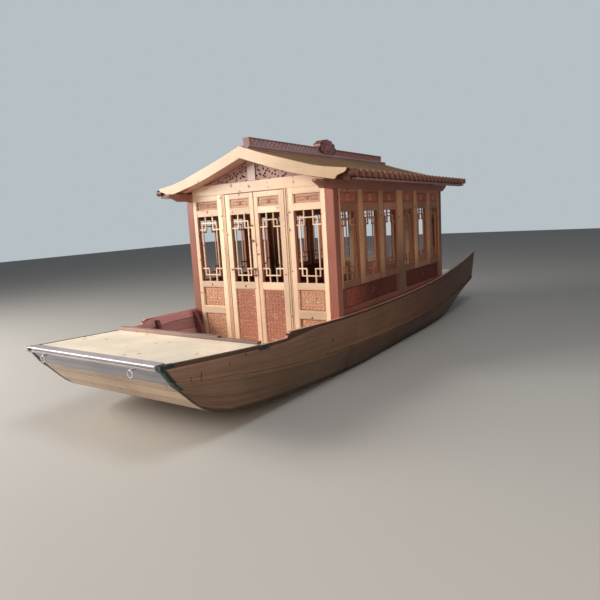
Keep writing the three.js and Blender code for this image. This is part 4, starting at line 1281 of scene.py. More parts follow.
@dataclass
class EndWall:
    """One end of the cabin: two fixed bays and two door leaves, as joined boards."""

    word: str
    wall: Wall
    facing: int
    ornament: Ornament
    window_z: Range = (0.946, 1.659)
    top_panel_z: Range = (1.720, 1.825)
    thick: float = 0.045
    ease: float = 0.0018
    bay_z: Range = (0.2105, 1.8795)
    bay_inner: Range = (0.490, 0.807)
    # from, to, how far behind the wall's face
    bay_stiles: Rows = (
        (0.389, 0.408, 0), (0.4145, 0.4255, 0.003), (0.432, 0.490, 0), (0.807, 0.8545, 0),
    )
    bay_tongue: Range = (0.406, 0.434)
    tongue_deep: Range = (-0.041, -0.012)
    # depth of a panel's ground and of its raised field, in a bay and in a leaf
    bay_fields: Range = (-0.030, -0.019)
    leaf_fields: Range = (-0.024, -0.014)
    bay_rails: Rows = ((0.590, 0.663), (0.886, 0.946))
    bay_foot: float = 0.290
    bay_panels: Rows = ((0.663, 0.886), (0.290, 0.590))
    bay_window: Range = (0.505, 0.794)
    leaf_z: Range = (0.218, 1.874)
    leaf_inner: Range = (0.052, 0.324)
    leaf_stiles: Rows = ((0.005, 0.052), (0.324, 0.381))
    leaf_deep: Range = (-0.038, -0.002)
    leaf_panel: Range = (0.300, 0.875)
    leaf_window: Range = (0.066, 0.310)
    pull_away: float = 0.034
    lattice: Lattice = field(default_factory=Lattice)

    def build(self) -> None:
        """Build both bays and both leaves."""
        for side in (1, -1):
            hand = Hand.PORT if side * self.facing > 0 else Hand.STARBOARD
            self._bay(side, hand)
            self._door(side, hand)

    def _reveals(self, node: str, body: str, side: int, frame_u: Range, window: Range, front: float) -> None:
        """Add the strips inside the window's frame on both sides, dark red-brown partly as a stain and partly
        as painted shade of the reveals.

        Args:
            node: The CAD node.
            body: Body that the strips ride on.
            side: Side of the wall's middle line.
            frame_u: Where the frame's opening starts and ends.
            window: Where the window starts and ends.
            front: Depth of the strips' front.
        """
        strips = Stack(f"{node}_reveals")
        for low, high in ((frame_u[0], window[0]), (window[1], frame_u[1])):
            strips.board(span(side, low, high), self.window_z, (-0.036, front), Axis.Y)
        Bench.finish(strips.done(0.001, self.wall.matrix()), REVEAL_STAIN_AND_SHADE, body=body)

    def _top(self, node: str, body: str, inner: Range, like: Panel) -> None:
        """Build a top panel: a plain border round a darker band of carving."""
        looks = {"raised_finish": TOP_FIELD, "relief_finish": TOP_RELIEF}
        panel = replace(like, **looks, pitch=0.024, border=0.012, margin_u=0.07, margin_v=0.16)
        panel.build(f"{node}_top", body, self.wall.matrix(), [(inner, self.top_panel_z)])

    def _bay(self, side: int, hand: Hand) -> None:
        """Build one fixed bay."""
        node = f"{self.word}_bay_{hand.word}"
        panel = Panel(self.ornament, 0.0, *self.bay_fields, BAY_GROUND, BAY_GROUND, BAY_CARVED)
        stack = Stack(f"{node}_frame")
        for start, end, sink in self.bay_stiles:
            stack.board(span(side, start, end), self.bay_z, (-self.thick, -sink), Axis.Y)
        stack.board(span(side, *self.bay_tongue), self.bay_z, self.tongue_deep, Axis.Y)
        inner = span(side, *self.bay_inner)
        for rail in (
            (self.bay_z[0], self.bay_foot), *self.bay_rails, (self.window_z[1], self.top_panel_z[0]),
            (self.top_panel_z[1], self.bay_z[1]),
        ):
            stack.board(inner, rail, (-self.thick, 0.0), Axis.X)
        self.lattice.lay(stack, span(side, *self.bay_window), self.window_z, -self.thick / 2)
        spaces = [(inner, v) for v in self.bay_panels]
        for u, v in (*spaces, (inner, self.top_panel_z)):
            panel.beads(stack, u, v)
        Bench.finish(stack.done(self.ease, self.wall.matrix()), PINE, node)
        self._reveals(node, BODY, side, self.bay_inner, self.bay_window, -0.010)
        panel.build(node, BODY, self.wall.matrix(), spaces)
        self._top(node, BODY, inner, panel)

    def _door(self, side: int, hand: Hand) -> None:
        """Build one door leaf and, on the starboard leaf, its handle."""
        node = f"{self.word}_door_{hand.word}"
        body = f"{node}_leaf"
        looks = (CARVED_GROUND, CARVED_GROUND, CARVED_PINE)
        panel = Panel(self.ornament, self.leaf_deep[1], *self.leaf_fields, *looks, pitch=0.04, border=0.008)
        stack = Stack(f"{node}_frame")
        for start, end in self.leaf_stiles:
            stack.board(span(side, start, end), self.leaf_z, self.leaf_deep, Axis.Y)
        inner = span(side, *self.leaf_inner)
        edges = (
            self.leaf_z[0], self.leaf_panel[0], self.leaf_panel[1], self.window_z[0], self.window_z[1],
            self.top_panel_z[0], self.top_panel_z[1], self.leaf_z[1],
        )
        for rail in zip(edges[::2], edges[1::2]):
            stack.board(inner, rail, self.leaf_deep, Axis.X)
        self.lattice.lay(stack, span(side, *self.leaf_window), self.window_z, sum(self.leaf_deep) / 2)
        spaces = [(inner, self.top_panel_z), (inner, self.leaf_panel)]
        for u, v in spaces:
            panel.beads(stack, u, v)
        Bench.finish(stack.done(self.ease, self.wall.matrix()), PINE, node, body=body)
        if hand is Hand.STARBOARD:
            Pull(side * self.pull_away, self.wall).build(node, body)
        self._reveals(node, body, side, self.leaf_inner, self.leaf_window, -0.012)
        panel.build(node, body, self.wall.matrix(), spaces[1:])
        self._top(node, body, inner, panel)


@dataclass
class Pull:
    """Arched pull on a leaf's meeting stile."""

    middle: float
    wall: Wall
    half: float = 0.016
    low: float = 1.01
    rise: float = 0.085
    radius: float = 0.0055
    feet: Range = (1.016, 1.09)
    foot_half: Range = (0.0045, 0.005)
    foot_deep: Range = (-0.004, 0.014)

    def build(self, node: str, body: str) -> None:
        """Build the pull.

        Args:
            node: The leaf's CAD node.
            body: The leaf's body.
        """
        start = (self.middle + self.half, self.low, self.half)
        circle = bpy.ops.mesh.primitive_circle_add
        piece = Bench.add(circle, vertices=10, radius=self.radius, fill_type="NGON", location=start)
        Bench.open()
        bpy.ops.transform.rotate(value=math.pi / 2, orient_axis="X", center_override=start)
        bpy.ops.mesh.extrude_region_move(TRANSFORM_OT_translate={"value": (0, self.rise, 0)})
        top = (self.middle, self.low + self.rise, self.half)
        bpy.ops.mesh.spin(steps=8, angle=math.pi, center=top, axis=(0, 0, 1))
        bpy.ops.mesh.extrude_region_move(TRANSFORM_OT_translate={"value": (0, -self.rise, 0)})
        Bench.outward(piece)
        feet = Stack("feet")
        for away in (-self.half, self.half):
            for height in self.feet:
                place = (self.middle + away, height)
                across, along = ((at - half, at + half) for at, half in zip(place, self.foot_half))
                feet.board(across, along, self.foot_deep, Axis.Z)
        pull = Bench.join(f"{node}_pull", (piece, feet.done(0.001)))
        regrain(pull, Axis.Y)
        Bench.settle(pull, self.wall.matrix())
        Bench.smooth(pull, 40)
        Bench.finish(pull, REVEAL_STAIN_AND_SHADE, body=body)


@dataclass
class SideWall:
    """One long side of the cabin: two bays of three lattice windows each."""

    hand: Hand
    wall: Wall
    ornament: Ornament
    bays: tuple[tuple[str, float, float], ...] = (("fore", -0.0605, 1.3145), ("aft", -1.4645, -0.2085))
    foot: float = 0.6005
    head: float = 1.8385
    window_z: Range = (0.946, 1.619)
    top_panel_z: Range = (1.700, 1.815)
    low_panel_z: Range = (0.672, 0.880)
    batten: float = 0.088
    margin: float = 0.055
    stile: float = 0.040
    top_stile: float = 0.020
    end_margin: float = 0.060
    end_strip: float = 0.030
    thick: float = 0.045
    face: float = -0.006
    # depth of the lattice's middle, and of the reveals', battens' and end strips' backs and fronts
    lattice_deep: float = -0.0255
    reveal_deep: Range = (-0.041, -0.014)
    batten_deep: Range = (-0.0225, 0.0)
    strip_deep: Range = (-0.030, -0.0035)
    panel_fields: Range = (-0.026, -0.016)
    ease: float = 0.0018
    lattice: Lattice = field(default_factory=Lattice)

    def build(self) -> None:
        """Build both bays."""
        for name, low, high in self.bays:
            self._bay(f"side_bay_{name}_{self.hand.word}", span(-self.hand.value, low, high))

    def _bay(self, node: str, u: Range) -> None:
        """Build one bay.

        Args:
            node: The CAD node that it replaces.
            u: Where the bay starts and ends.
        """
        deep = (-self.thick, self.face)
        rail_low, rail_high = self.low_panel_z[1], self.top_panel_z[0]
        pitch = (u[1] - u[0] + self.batten) / 3
        fields = [(u[0] + k * pitch, u[0] + (k + 1) * pitch - self.batten) for k in range(3)]
        words = ("frame", "rails", "battens", "reveals")
        frames, rails, battens, strips = (Stack(f"{node}_{word}") for word in words)
        tops: list[tuple[Range, Range]] = []
        for start, end in fields:
            inner = inset((start, end), self.stile)
            wide = inset((start, end), self.top_stile)
            window = inset((start, end), self.margin)
            for k, edge in enumerate((start, end)):
                frames.board(tuple(sorted((edge, inner[k]))), (rail_low, rail_high), deep, Axis.Y)
                frames.board(tuple(sorted((edge, wide[k]))), (rail_high, self.head), deep, Axis.Y)
            for rail in ((rail_low, self.window_z[0]), (self.window_z[1], rail_high)):
                frames.board(inner, rail, deep, Axis.X)
            frames.board(wide, (self.top_panel_z[1], self.head), deep, Axis.X)
            self.lattice.lay(frames, window, self.window_z, self.lattice_deep)
            for edge in ((inner[0], window[0]), (window[1], inner[1])):
                strips.board(edge, self.window_z, self.reveal_deep, Axis.Y)
            tops.append((wide, self.top_panel_z))
        rails.board(u, (self.foot, self.low_panel_z[0]), deep, Axis.X)
        for edge in ((u[0], u[0] + self.end_margin), (u[1] - self.end_margin, u[1])):
            rails.board(edge, self.low_panel_z, deep, Axis.Y)
        lows = [(inset(u, self.end_margin), self.low_panel_z)]
        for _, end in fields[:2]:
            battens.board((end, end + self.batten), (rail_low, self.head), self.batten_deep, Axis.Y)
        edge = max(u, key=abs)
        inward = edge + math.copysign(self.end_strip, -edge)
        strip = tuple(sorted((edge, inward)))
        battens.board(strip, (rail_low, self.head), self.strip_deep, Axis.Y)
        matrix = self.wall.matrix()
        looks = (SIDE_GROUND, SIDE_GROUND, SIDE_CARVED)
        low_panel = Panel(self.ornament, self.face, *self.panel_fields, *looks, pitch=0.048, border=0.014)
        top_panel = replace(
            low_panel, low_finish=SIDE_TOP, raised_finish=SIDE_TOP, relief_finish=SIDE_TOP_CARVED
        )
        for space in tops:
            top_panel.beads(frames, *space)
        for space in lows:
            low_panel.beads(rails, *space)
        Bench.finish(frames.done(self.ease, matrix), SIDE, node)
        Bench.finish(rails.done(self.ease, matrix), SIDE_RAIL)
        Bench.finish(battens.done(0.003, matrix), SIDE_BATTEN)
        Bench.finish(strips.done(0.001, matrix), SIDE_REVEAL)
        low_panel.build(f"{node}_low", BODY, matrix, lows)
        top_panel.build(f"{node}_top", BODY, matrix, tops)


@dataclass
class Timbers:
    """Posts, beams and plates that are carried over with eased edges."""

    # inner and outer edge of what a wall plate loses at each end, and where each cut starts and ends
    plate_thinned: Range = (0.80, 0.902)
    plate_ends: Rows = ((1.412, 1.75), (-1.85, -1.562))

    def build(self) -> None:
        """Build every piece."""
        for hand in Hand:
            for word, along, finish in (
                ("corner_post_front", Axis.Z, POST_RED),
                ("corner_post_rear", Axis.Z, POST_RED),
                ("mid_post", Axis.Z, MID_POST),
                ("cabin_ledge", Axis.X, RED_DARK),
            ):
                node = f"{word}_{hand.word}"
                Bench.finish(eased_copy(node, f"{node}_wood", along, 0.004), finish, node)
            self._wall_plate(hand)
        for node in ("tie_beam_front", "tie_beam_rear"):
            Bench.finish(eased_copy(node, f"{node}_wood", Axis.Y, 0.003), PINE, node)

    def _wall_plate(self, hand: Hand) -> None:
        """Build a wall plate whose ends are thinned on the inside, past the end walls."""
        node = f"wall_plate_{hand.word}"
        piece = eased_copy(node, f"{node}_wood", Axis.X, 0.0)
        inner, outer = span(hand.value, *self.plate_thinned)
        for start, end in self.plate_ends:
            middle = ((start + end) / 2, (inner + outer) / 2, 1.88)
            size = (end - start, outer - inner, 0.2)
            Bench.clear()
            bpy.ops.mesh.primitive_cube_add(size=1, location=middle, scale=size)
            Bench.cut(piece, bpy.context.object)
        Bench.bevel(piece, 0.003)
        Bench.finish(piece, PLATE_RED, node)


# Roof


@dataclass
class Roof:
    """Slopes, barge boards, ridge, crest, gables and eaves."""

    ornament: Ornament
    ridge_x: Range = (-1.600, 1.432)
    ridge_half: float = 0.042
    # X, Y and Z of the low band along the ridge's foot, on the port side
    foot_band: Rows = ((-1.668, 1.528), (0.083, 0.091), (2.306, 2.3235))
    # Y past which a barge board's outer edge is end grain
    barge_end: float = 1.02
    # heights of the ridge's mouldings and how far they stand out
    mouldings: Rows = ((2.331, 2.339, 0.006), (2.401, 2.411, 0.007))
    carved_to: float = 0.16
    carved_rows: Range = (2.356, 2.385)
    carved_pitch: float = 0.036
    carved_size: float = 0.42
    crest_middle: Place = (-0.07, 0.052, 2.398)
    boss_radius: float = 0.056
    disc_radius: float = 0.16
    disc_flat: float = 0.41
    # petals, first and last angle, radius across and up, size
    rings: Rows = (
        (11, -12, 192, 0.088, 0.072, 0.5), (13, -10, 190, 0.128, 0.094, 0.55),
        (8, 203, 337, 0.088, 0.046, 0.4), (10, 192, 348, 0.132, 0.051, 0.38),
    )
    # X of the front and of the rear gable's face
    gable_faces: Range = (1.410, -1.560)
    gable_z: Range = (1.991, 2.196)
    king_half: float = 0.050
    king_thick: float = 0.045
    fret_end: float = 0.612
    fret_top: float = 2.19
    # height of the fret's sloping edge beside the king post, and the way square to the edge: out and up
    fret_edge: float = 2.180
    fret_slope: Range = (0.314, 0.949)
    # how far a fret's faces lie behind the gable's face
    fret_deep: Range = (0.010, 0.022)
    # Y and Z of the first saw cut, and the pitch of the cuts both ways
    fret_start: Range = (0.078, 2.010)
    fret_pitch: float = 0.036
    fret_rise: float = 0.033
    # height at the middle line, and fall per metre, of the line that the saw cuts stay under
    fret_limit: Range = (2.166, 0.331)
    fret_sizes: Range = (0.6, 0.7)

    def build(self) -> None:
        """Build the whole roof."""
        for hand in Hand:
            node = f"roof_slope_{hand.word}"
            slope = eased_copy(node, f"{node}_wood", Axis.X, 0.0, smooth=True)
            # painted shade on the slope's end faces
            ends = (END_SHADE, lambda face: abs(face.normal.x) > SQUARE_ON)
            # painted light on the slope's underside
            Bench.line(slope, ROOFING, (SOFFIT_LIGHT, lambda face: face.normal.z < -TURNED), ends)
            Bench.finish(slope, ROOFING, node)
            Eave(hand).build()
            self._ridge_side(hand)
            self._crest_side(hand)
        for end in ("front", "rear"):
            node = f"barge_board_{end}"
            board = eased_copy(node, f"{node}_wood", Axis.Y, 0.003)
            # painted shade on the barge board's end faces
            Bench.line(board, EDGE_PINE, (END_SHADE, lambda face: (
                abs(face.normal.x) < END_ON and abs(face.center.y) > self.barge_end and face.normal.z < TURNED
            )))
            Bench.finish(board, EDGE_PINE, node)
            self._gable(end)
        finishes = (RIDGE_BASE, RIDGE_RED, CREST_RED)
        for node, finish in zip(("ridge_base", "ridge_beam", "ridge_crest"), finishes):
            timber = eased_copy(node, f"{node}_wood", Axis.X, 0.004)
            Bench.line(timber, finish, (RIDGE_END, lambda face: abs(face.normal.x) > SQUARE_ON))
            Bench.finish(timber, finish, node)

    def _ridge_side(self, hand: Hand) -> None:
        """Add the mouldings and the two carved rows on one side of the ridge."""
        side = hand.value
        trim = Stack(f"ridge_mouldings_{hand.word}")
        for low, high, proud in self.mouldings:
            across = span(side, self.ridge_half - 0.002, self.ridge_half + proud)
            trim.board(self.ridge_x, across, (low, high), Axis.X)
        x, y, z = self.foot_band
        trim.board(x, span(side, *y), z, Axis.X)
        Bench.finish(trim.done(0.0025), RIDGE_BASE)
        turn = Matrix.Rotation(-side * math.pi / 2, 4, "X")
        parts = []
        place = self.ridge_x[1] - 0.03
        count = 0
        while place > self.carved_to:
            for row, height in enumerate(self.carved_rows):
                model = self.ornament.rosette if (count + row) % 2 else self.ornament.curl
                at = (place, -side * height, 0)
                spin = 70 * count + 120 * row
                parts.append(self.ornament.stamp(model, at, self.carved_size, spin, count % 2 == 1))
            place -= self.carved_pitch
            count += 1
        relief = Bench.join(f"ridge_carving_{hand.word}", parts)
        Bench.settle(relief, Matrix.Translation((0, side * self.ridge_half, 0)) @ turn)
        Bench.finish(relief, RIDGE_CARVED)

    def _crest_side(self, hand: Hand) -> None:
        """Add the boss and its rings of petals to one face of the crest."""
        x, y, z = self.crest_middle
        ops = bpy.ops.mesh
        boss = Bench.add(
            ops.primitive_uv_sphere_add, segments=20, ring_count=8, radius=self.boss_radius,
            location=(0, 0.006, 0), scale=(1.1, 0.9, 0.3),
        )
        disc = Bench.add(
            ops.primitive_cylinder_add, vertices=32, radius=self.disc_radius, depth=0.010,
            location=(0, 0, -0.006), scale=(1, self.disc_flat, 1),
        )
        for face in disc.data.polygons:
            face.select = face.normal.z > SQUARE_ON
        bpy.ops.object.mode_set(mode="EDIT")
        ops.inset(thickness=0.008, depth=0.003)
        Bench.shut()
        parts = [boss, disc]
        for count, first, last, wide, tall, size in self.rings:
            for k in range(count):
                angle = math.radians(first + (last - first) * k / (count - 1))
                at = (wide * math.cos(angle), tall * math.sin(angle), 0)
                parts.append(self.ornament.stamp(self.ornament.petal, at, size, math.degrees(angle)))
        relief = Bench.join(f"crest_carving_{hand.word}", parts)
        regrain(relief, Axis.X)
        turn = Matrix.Rotation(math.pi, 4, "Z") if hand is Hand.PORT else Matrix.Identity(4)
        stand = Matrix.Translation((x, hand.value * y, z)) @ turn @ Matrix.Rotation(math.pi / 2, 4, "X")
        Bench.settle(relief, stand)
        Bench.finish(relief, CREST_CARVED)

    def _gable(self, end: str) -> None:
        """Build the king post and the two pierced frets of one gable."""
        node = f"gable_{end}"
        face, sense = (self.gable_faces[0], 1) if end == "front" else (self.gable_faces[1], -1)
        post = tuple(sorted((face, face - sense * self.king_thick)))
        king = Stack(f"king_post_{end}").board(post, (-self.king_half, self.king_half), self.gable_z, Axis.Z)
        Bench.finish(king.done(0.003), KING_PINE, node)
        for hand in Hand:
            side = hand.value
            thick = tuple(sorted(face - sense * deep for deep in self.fret_deep))
            across = span(side, self.king_half, self.fret_end)
            board = Stack(f"fret_{end}_{hand.word}")
            piece = board.board(thick, across, (self.gable_z[0], self.fret_top), Axis.Y).done(0.0)
            out, up = self.fret_slope
            Bench.slice(piece, (0, side * self.king_half, self.fret_edge), (0, side * out, up))
            for cutter in self._fret_cutters(face - sense * sum(self.fret_deep) / 2, side):
                Bench.cut(piece, cutter)
            piece = Bench.largest(piece)
            regrain(piece, Axis.Y)
            Bench.finish(piece, FRET_RED)

    def _fret_cutters(self, middle: float, side: int) -> list[Piece]:
        """Place the saw cuts of one fret, in joined sets of cuts that keep clear of each other.

        Args:
            middle: Middle of the fret's thickness along X.
            side: Side of the boat.

        Returns:
            The cutters.
        """
        chance = random.Random(7)
        turn = Matrix.Rotation(math.pi / 2, 4, "Y")
        centre = Matrix.Translation((-0.0127, -0.0127, 0.0))
        sets: list[list[Piece]] = [[], [], [], []]
        for column in range(12):
            away = self.fret_start[0] + column * self.fret_pitch
            for row in range(6):
                height = self.fret_start[1] + (row + 0.4 * (column % 2)) * self.fret_rise
                if height > self.fret_limit[0] - self.fret_limit[1] * away:
                    break
                size = chance.uniform(*self.fret_sizes)
                scale = Matrix.Diagonal((size, size, 3.0, 1.0))
                spot = Matrix.Translation((middle, side * away, height))
                spin = Matrix.Rotation(math.radians(chance.choice((20, 80, 140, 200, 260, 320))), 4, "X")
                group = sets[2 * (row % 2) + column % 2]
                group.append(Bench.copy(self.ornament.comma, spot @ spin @ turn @ scale @ centre))
        return [Bench.join(f"fret_cut_{number}", cuts) for number, cuts in enumerate(sets) if cuts]


@dataclass
class Eave:
    """Fascia along one eave with its row of round tile ends and drip tiles."""

    hand: Hand
    x: Range = (-1.717, 1.577)
    root: float = 1.1915
    reach: float = 0.072
    bottom: float = 1.891
    top: float = 1.987
    count: int = 26
    shift: float = 0.012
    # fascia and the strip at its foot: out from the root, from and to, and up from the bottom, from and to
    boards: Rows = ((0.0, 0.026, 0.0, 0.092), (0.020, 0.046, 0.001, 0.019))
    short: float = 0.06
    end_reach: float = 0.1
    round_radius: float = 0.033
    round_drop: float = 0.037
    round_tilt: float = 93.0
    drip_radius: float = 0.034
    drip_deep: float = 0.012
    drip_out: float = 0.044
    drip_drop: float = 0.044
    drip_tilt: float = 74.0

    def build(self) -> None:
        """Build the fascia and both rows of tiles."""
        side = self.hand.value
        node = f"eave_row_{self.hand.word}"
        fascia = Stack(f"fascia_{self.hand.word}")
        for near, far, low, high in self.boards:
            across = span(side, self.root + near, self.root + far)
            fascia.board(inset(self.x, self.short), across, (self.bottom + low, self.bottom + high), Axis.X)
        fascia = fascia.done(0.003)
        # painted shade on the fascia's end faces
        Bench.line(fascia, FASCIA_RED, (END_SHADE, lambda face: abs(face.normal.x) > END_ON))
        Bench.finish(fascia, FASCIA_RED, node)
        pitch = (self.x[1] - self.x[0]) / self.count
        length = self.reach - 0.004
        round_end = self._tile(
            ((0.005, -0.004), (0.006, 0.005)), Axis.Y, vertices=16, radius=self.round_radius, depth=length,
            location=(0, self.root + length / 2, self.top - self.round_drop),
            rotation=(math.radians(self.round_tilt), 0, 0),
        )
        drip = self._tile(
            ((0.006, 0.003),), Axis.X, vertices=12, radius=self.drip_radius, depth=self.drip_deep,
            location=(0, self.root + self.drip_out, self.top - self.drip_drop),
            rotation=(math.radians(self.drip_tilt), 0, 0), scale=(0.95, 0.92, 1.0),
        )
        mirror = Matrix.Diagonal((1, side, 1, 1))
        rounds, drips = [], []
        for k in range(self.count):
            place = self.x[0] + (k + 0.5) * pitch + self.shift
            rounds.append(Bench.copy(round_end, Matrix.Translation((place, 0, 0)) @ mirror))
            if k:
                drips.append(Bench.copy(drip, Matrix.Translation((place - pitch / 2, 0, 0)) @ mirror))
        row = Bench.join(f"round_tiles_{self.hand.word}", rounds)
        first, last = inset(self.x, self.end_reach)
        # painted shade on the outer flanks of the first and last round tiles
        Bench.line(row, TILE_BROWN, (END_SHADE, lambda face: (
            face.normal.x > 0.15 if face.center.x > last else face.center.x < first and face.normal.x < -0.15
        )))
        Bench.finish(row, TILE_BROWN)
        # painted shade: the drip tiles are darker than the round tiles
        Bench.finish(Bench.join(f"drip_tiles_{self.hand.word}", drips), DRIP_SHADE)
        for model in (round_end, drip):
            bpy.data.objects.remove(model)

    @staticmethod
    def _tile(steps: Sequence[Range], along: Axis, **settings: object) -> Piece:
        """Model one tile as a round block whose outer face, on the port side, is stepped in or out.

        Args:
            steps: Width and depth of each step of the face.
            along: Axis that the grain runs along.
            settings: Size and place of the block.

        Returns:
            The model.
        """
        piece = Bench.add(bpy.ops.mesh.primitive_cylinder_add, **settings)
        for face in piece.data.polygons:
            face.select = face.normal.y > SQUARE_ON
        bpy.ops.object.mode_set(mode="EDIT")
        for width, depth in steps:
            bpy.ops.mesh.inset(thickness=width, depth=depth)
        Bench.shut()
        regrain(piece, along)
        Bench.smooth(piece, 35)
        return piece


# Hull


@dataclass
class Hull:
    """Planking, transoms, decks, knees and the sole."""

    # X, then Y at foot and at head of the planks' inner face
    knees: Rows = ((2.05, 0.833, 0.902), (1.462, 0.848, 0.935))
    knee_thick: float = 0.038
    knee_foot: float = 0.112
    knee_head: float = 0.034
    knee_low: float = 0.2105
    knee_drop: float = 0.008
    # width of a strake on its UV map, and the least height that is spread over it
    strake_width: float = 0.3
    strake_least: float = 0.02
    # X past which the sheer's top face is end grain
    step_x: float = 2.46
    # least share of a normal straight up, for a face of the sheer's top edge
    edge_up: float = 0.75
    # X, Y and Z of the strips on the bow cap: a near-white strip along its front edge that is a painted
    # highlight, and the fillet below it
    nosing: Rows = ((3.498, 3.5122), (-0.7565, 0.7565), (0.6765, 0.6872))
    fillet: Rows = ((3.472, 3.494), (-0.757, 0.757), (0.6365, 0.6555))
    strip_ease: float = 0.004
    # X at which the coaming's beads start, their width, and their Y and Z
    bead_starts: Range = (2.5025, 2.530)
    bead_wide: float = 0.0205
    bead_y: Range = (-0.850, 0.4295)
    bead_z: Range = (0.6435, 0.6495)
    ease: float = 0.003

    def lay_strake(self, piece: Piece, low: tuple[float, ...], high: tuple[float, ...]) -> None:
        """Lay U along a strake and V from its low edge to its high edge.

        Args:
            piece: The strake.
            low: Heights of the low edge.
            high: Heights of the high edge.
        """
        layer = piece.data.uv_layers.active
        start = BOARD_STRIDE * (Bench.next_board() + 0.5)
        for loop in piece.data.loops:
            x, _, z = piece.data.vertices[loop.vertex_index].co
            floor, top = np.interp(x, LINE_X, low), np.interp(x, LINE_X, high)
            share = (z - floor) / max(top - floor, self.strake_least)
            layer.data[loop.index].uv = (x + start, self.strake_width * share)

    def line_sides(self, piece: Piece, hand: Hand, outer: Timber) -> None:
        """Give a strake its outer finish, and finishes of their own to its inner face, ends and top edge, the
        top edge's pale pink being a painted highlight.

        Args:
            piece: The strake.
            hand: Side of the boat.
            outer: Its outer finish.
        """
        def side(face: bpy.types.MeshPolygon) -> Timber:
            """Finish of one face."""
            # up-facing faces of the sheer take the painted highlight, past step_x the end grain
            if face.normal.z > self.edge_up:
                edge = SHEER_HIGHLIGHT if face.center.x < self.step_x else END_DARK
                return edge if outer is HULL_BROWN else outer
            if abs(face.normal.x) > END_ON:
                return END_DARK
            return INNER_RED if face.normal.y * hand.value < -TURNED else outer

        others = (INNER_RED, SHEER_HIGHLIGHT, END_DARK)
        tests = ((other, lambda face, other=other: side(face) is other) for other in others)
        Bench.line(piece, outer, *tests)

    def build(self) -> None:
        """Build the whole hull."""
        for hand in Hand:
            node = f"upper_strake_{hand.word}"
            upper = eased_copy(node, f"upper_planking_{hand.word}", Axis.X, 0.004, smooth=True)
            self.lay_strake(upper, KNUCKLE, SHEER)
            self.line_sides(upper, hand, HULL_BROWN)
            Bench.finish(upper, HULL_BROWN, node)
            for run in ("fore", "mid", "aft"):
                node = f"lower_strake_{run}_{hand.word}"
                lower = eased_copy(node, f"lower_plank_{run}_{hand.word}", Axis.X, self.ease, smooth=True)
                self.lay_strake(lower, CHINE, KNUCKLE)
                self.line_sides(lower, hand, STRAKE)
                Bench.finish(lower, STRAKE, node)
            self._knees(hand)
        for node, name, along, finish in (
            ("hull_bottom", "bottom_planking", Axis.Y, BOTTOM_FIR),
            ("bow_transom", "bow_transom_board", Axis.Y, TRANSOM),
            ("stern_transom", "stern_transom_board", Axis.Y, TRANSOM),
            # the bow cap's lilac-grey is a painted reflection
            ("bow_cap", "bow_cap_board", Axis.Y, CAP_AND_REFLECTION),
            ("bow_deck", "bow_deck_boards", Axis.Y, DECK_FIR_AND_SHEEN),
            ("stern_deck", "stern_deck_boards", Axis.Y, DECK_FIR_AND_SHEEN),
            ("deck_coaming", "coaming_rail", Axis.Y, COAMING),
            ("well_bulkhead", "well_bulkhead_boards", Axis.Y, RED),
            ("stern_bulkhead", "stern_bulkhead_boards", Axis.Y, RED),
            ("sole", "sole_boards", Axis.X, SOLE_FIR),
        ):
            Bench.finish(eased_copy(node, name, along, self.ease), finish, node)
        # the near-white strip along the cap's front edge is a painted highlight
        for name, box, finish in (("cap_nosing", self.nosing, CAP_HIGHLIGHT), ("cap_fillet", self.fillet, FILLET)):
            Bench.finish(Stack(name).board(*box, Axis.Y).done(self.strip_ease), finish)
        beads = Stack("coaming_beads")
        for start in self.bead_starts:
            beads.board((start, start + self.bead_wide), self.bead_y, self.bead_z, Axis.Y)
        Bench.finish(beads.done(0.0025), COAMING)

    def _knees(self, hand: Hand) -> None:
        """Stand the knees of one side on the sole, against the planks."""
        parts = []
        low = self.knee_low
        for x, foot, head in self.knees:
            top = float(np.interp(x, LINE_X, SHEER)) - self.knee_drop
            rise = top - low
            thick = (x - self.knee_thick / 2, x + self.knee_thick / 2)
            knee = Stack("knee").board(thick, (foot - self.knee_foot, head), (low, top), Axis.Z).done(0.0)
            Bench.slice(knee, (x, foot, low), (0, rise, foot - head))
            lean = head - self.knee_head - foot + self.knee_foot
            Bench.slice(knee, (x, foot - self.knee_foot, low), (0, -rise, lean))
            Bench.bevel(knee, 0.002)
            if hand is Hand.STARBOARD:
                Bench.settle(knee, Matrix.Diagonal((1, -1, 1, 1)))
                Bench.outward(knee)
            parts.append(knee)
        Bench.finish(Bench.join(f"knees_{hand.word}", parts), RED_DARK)


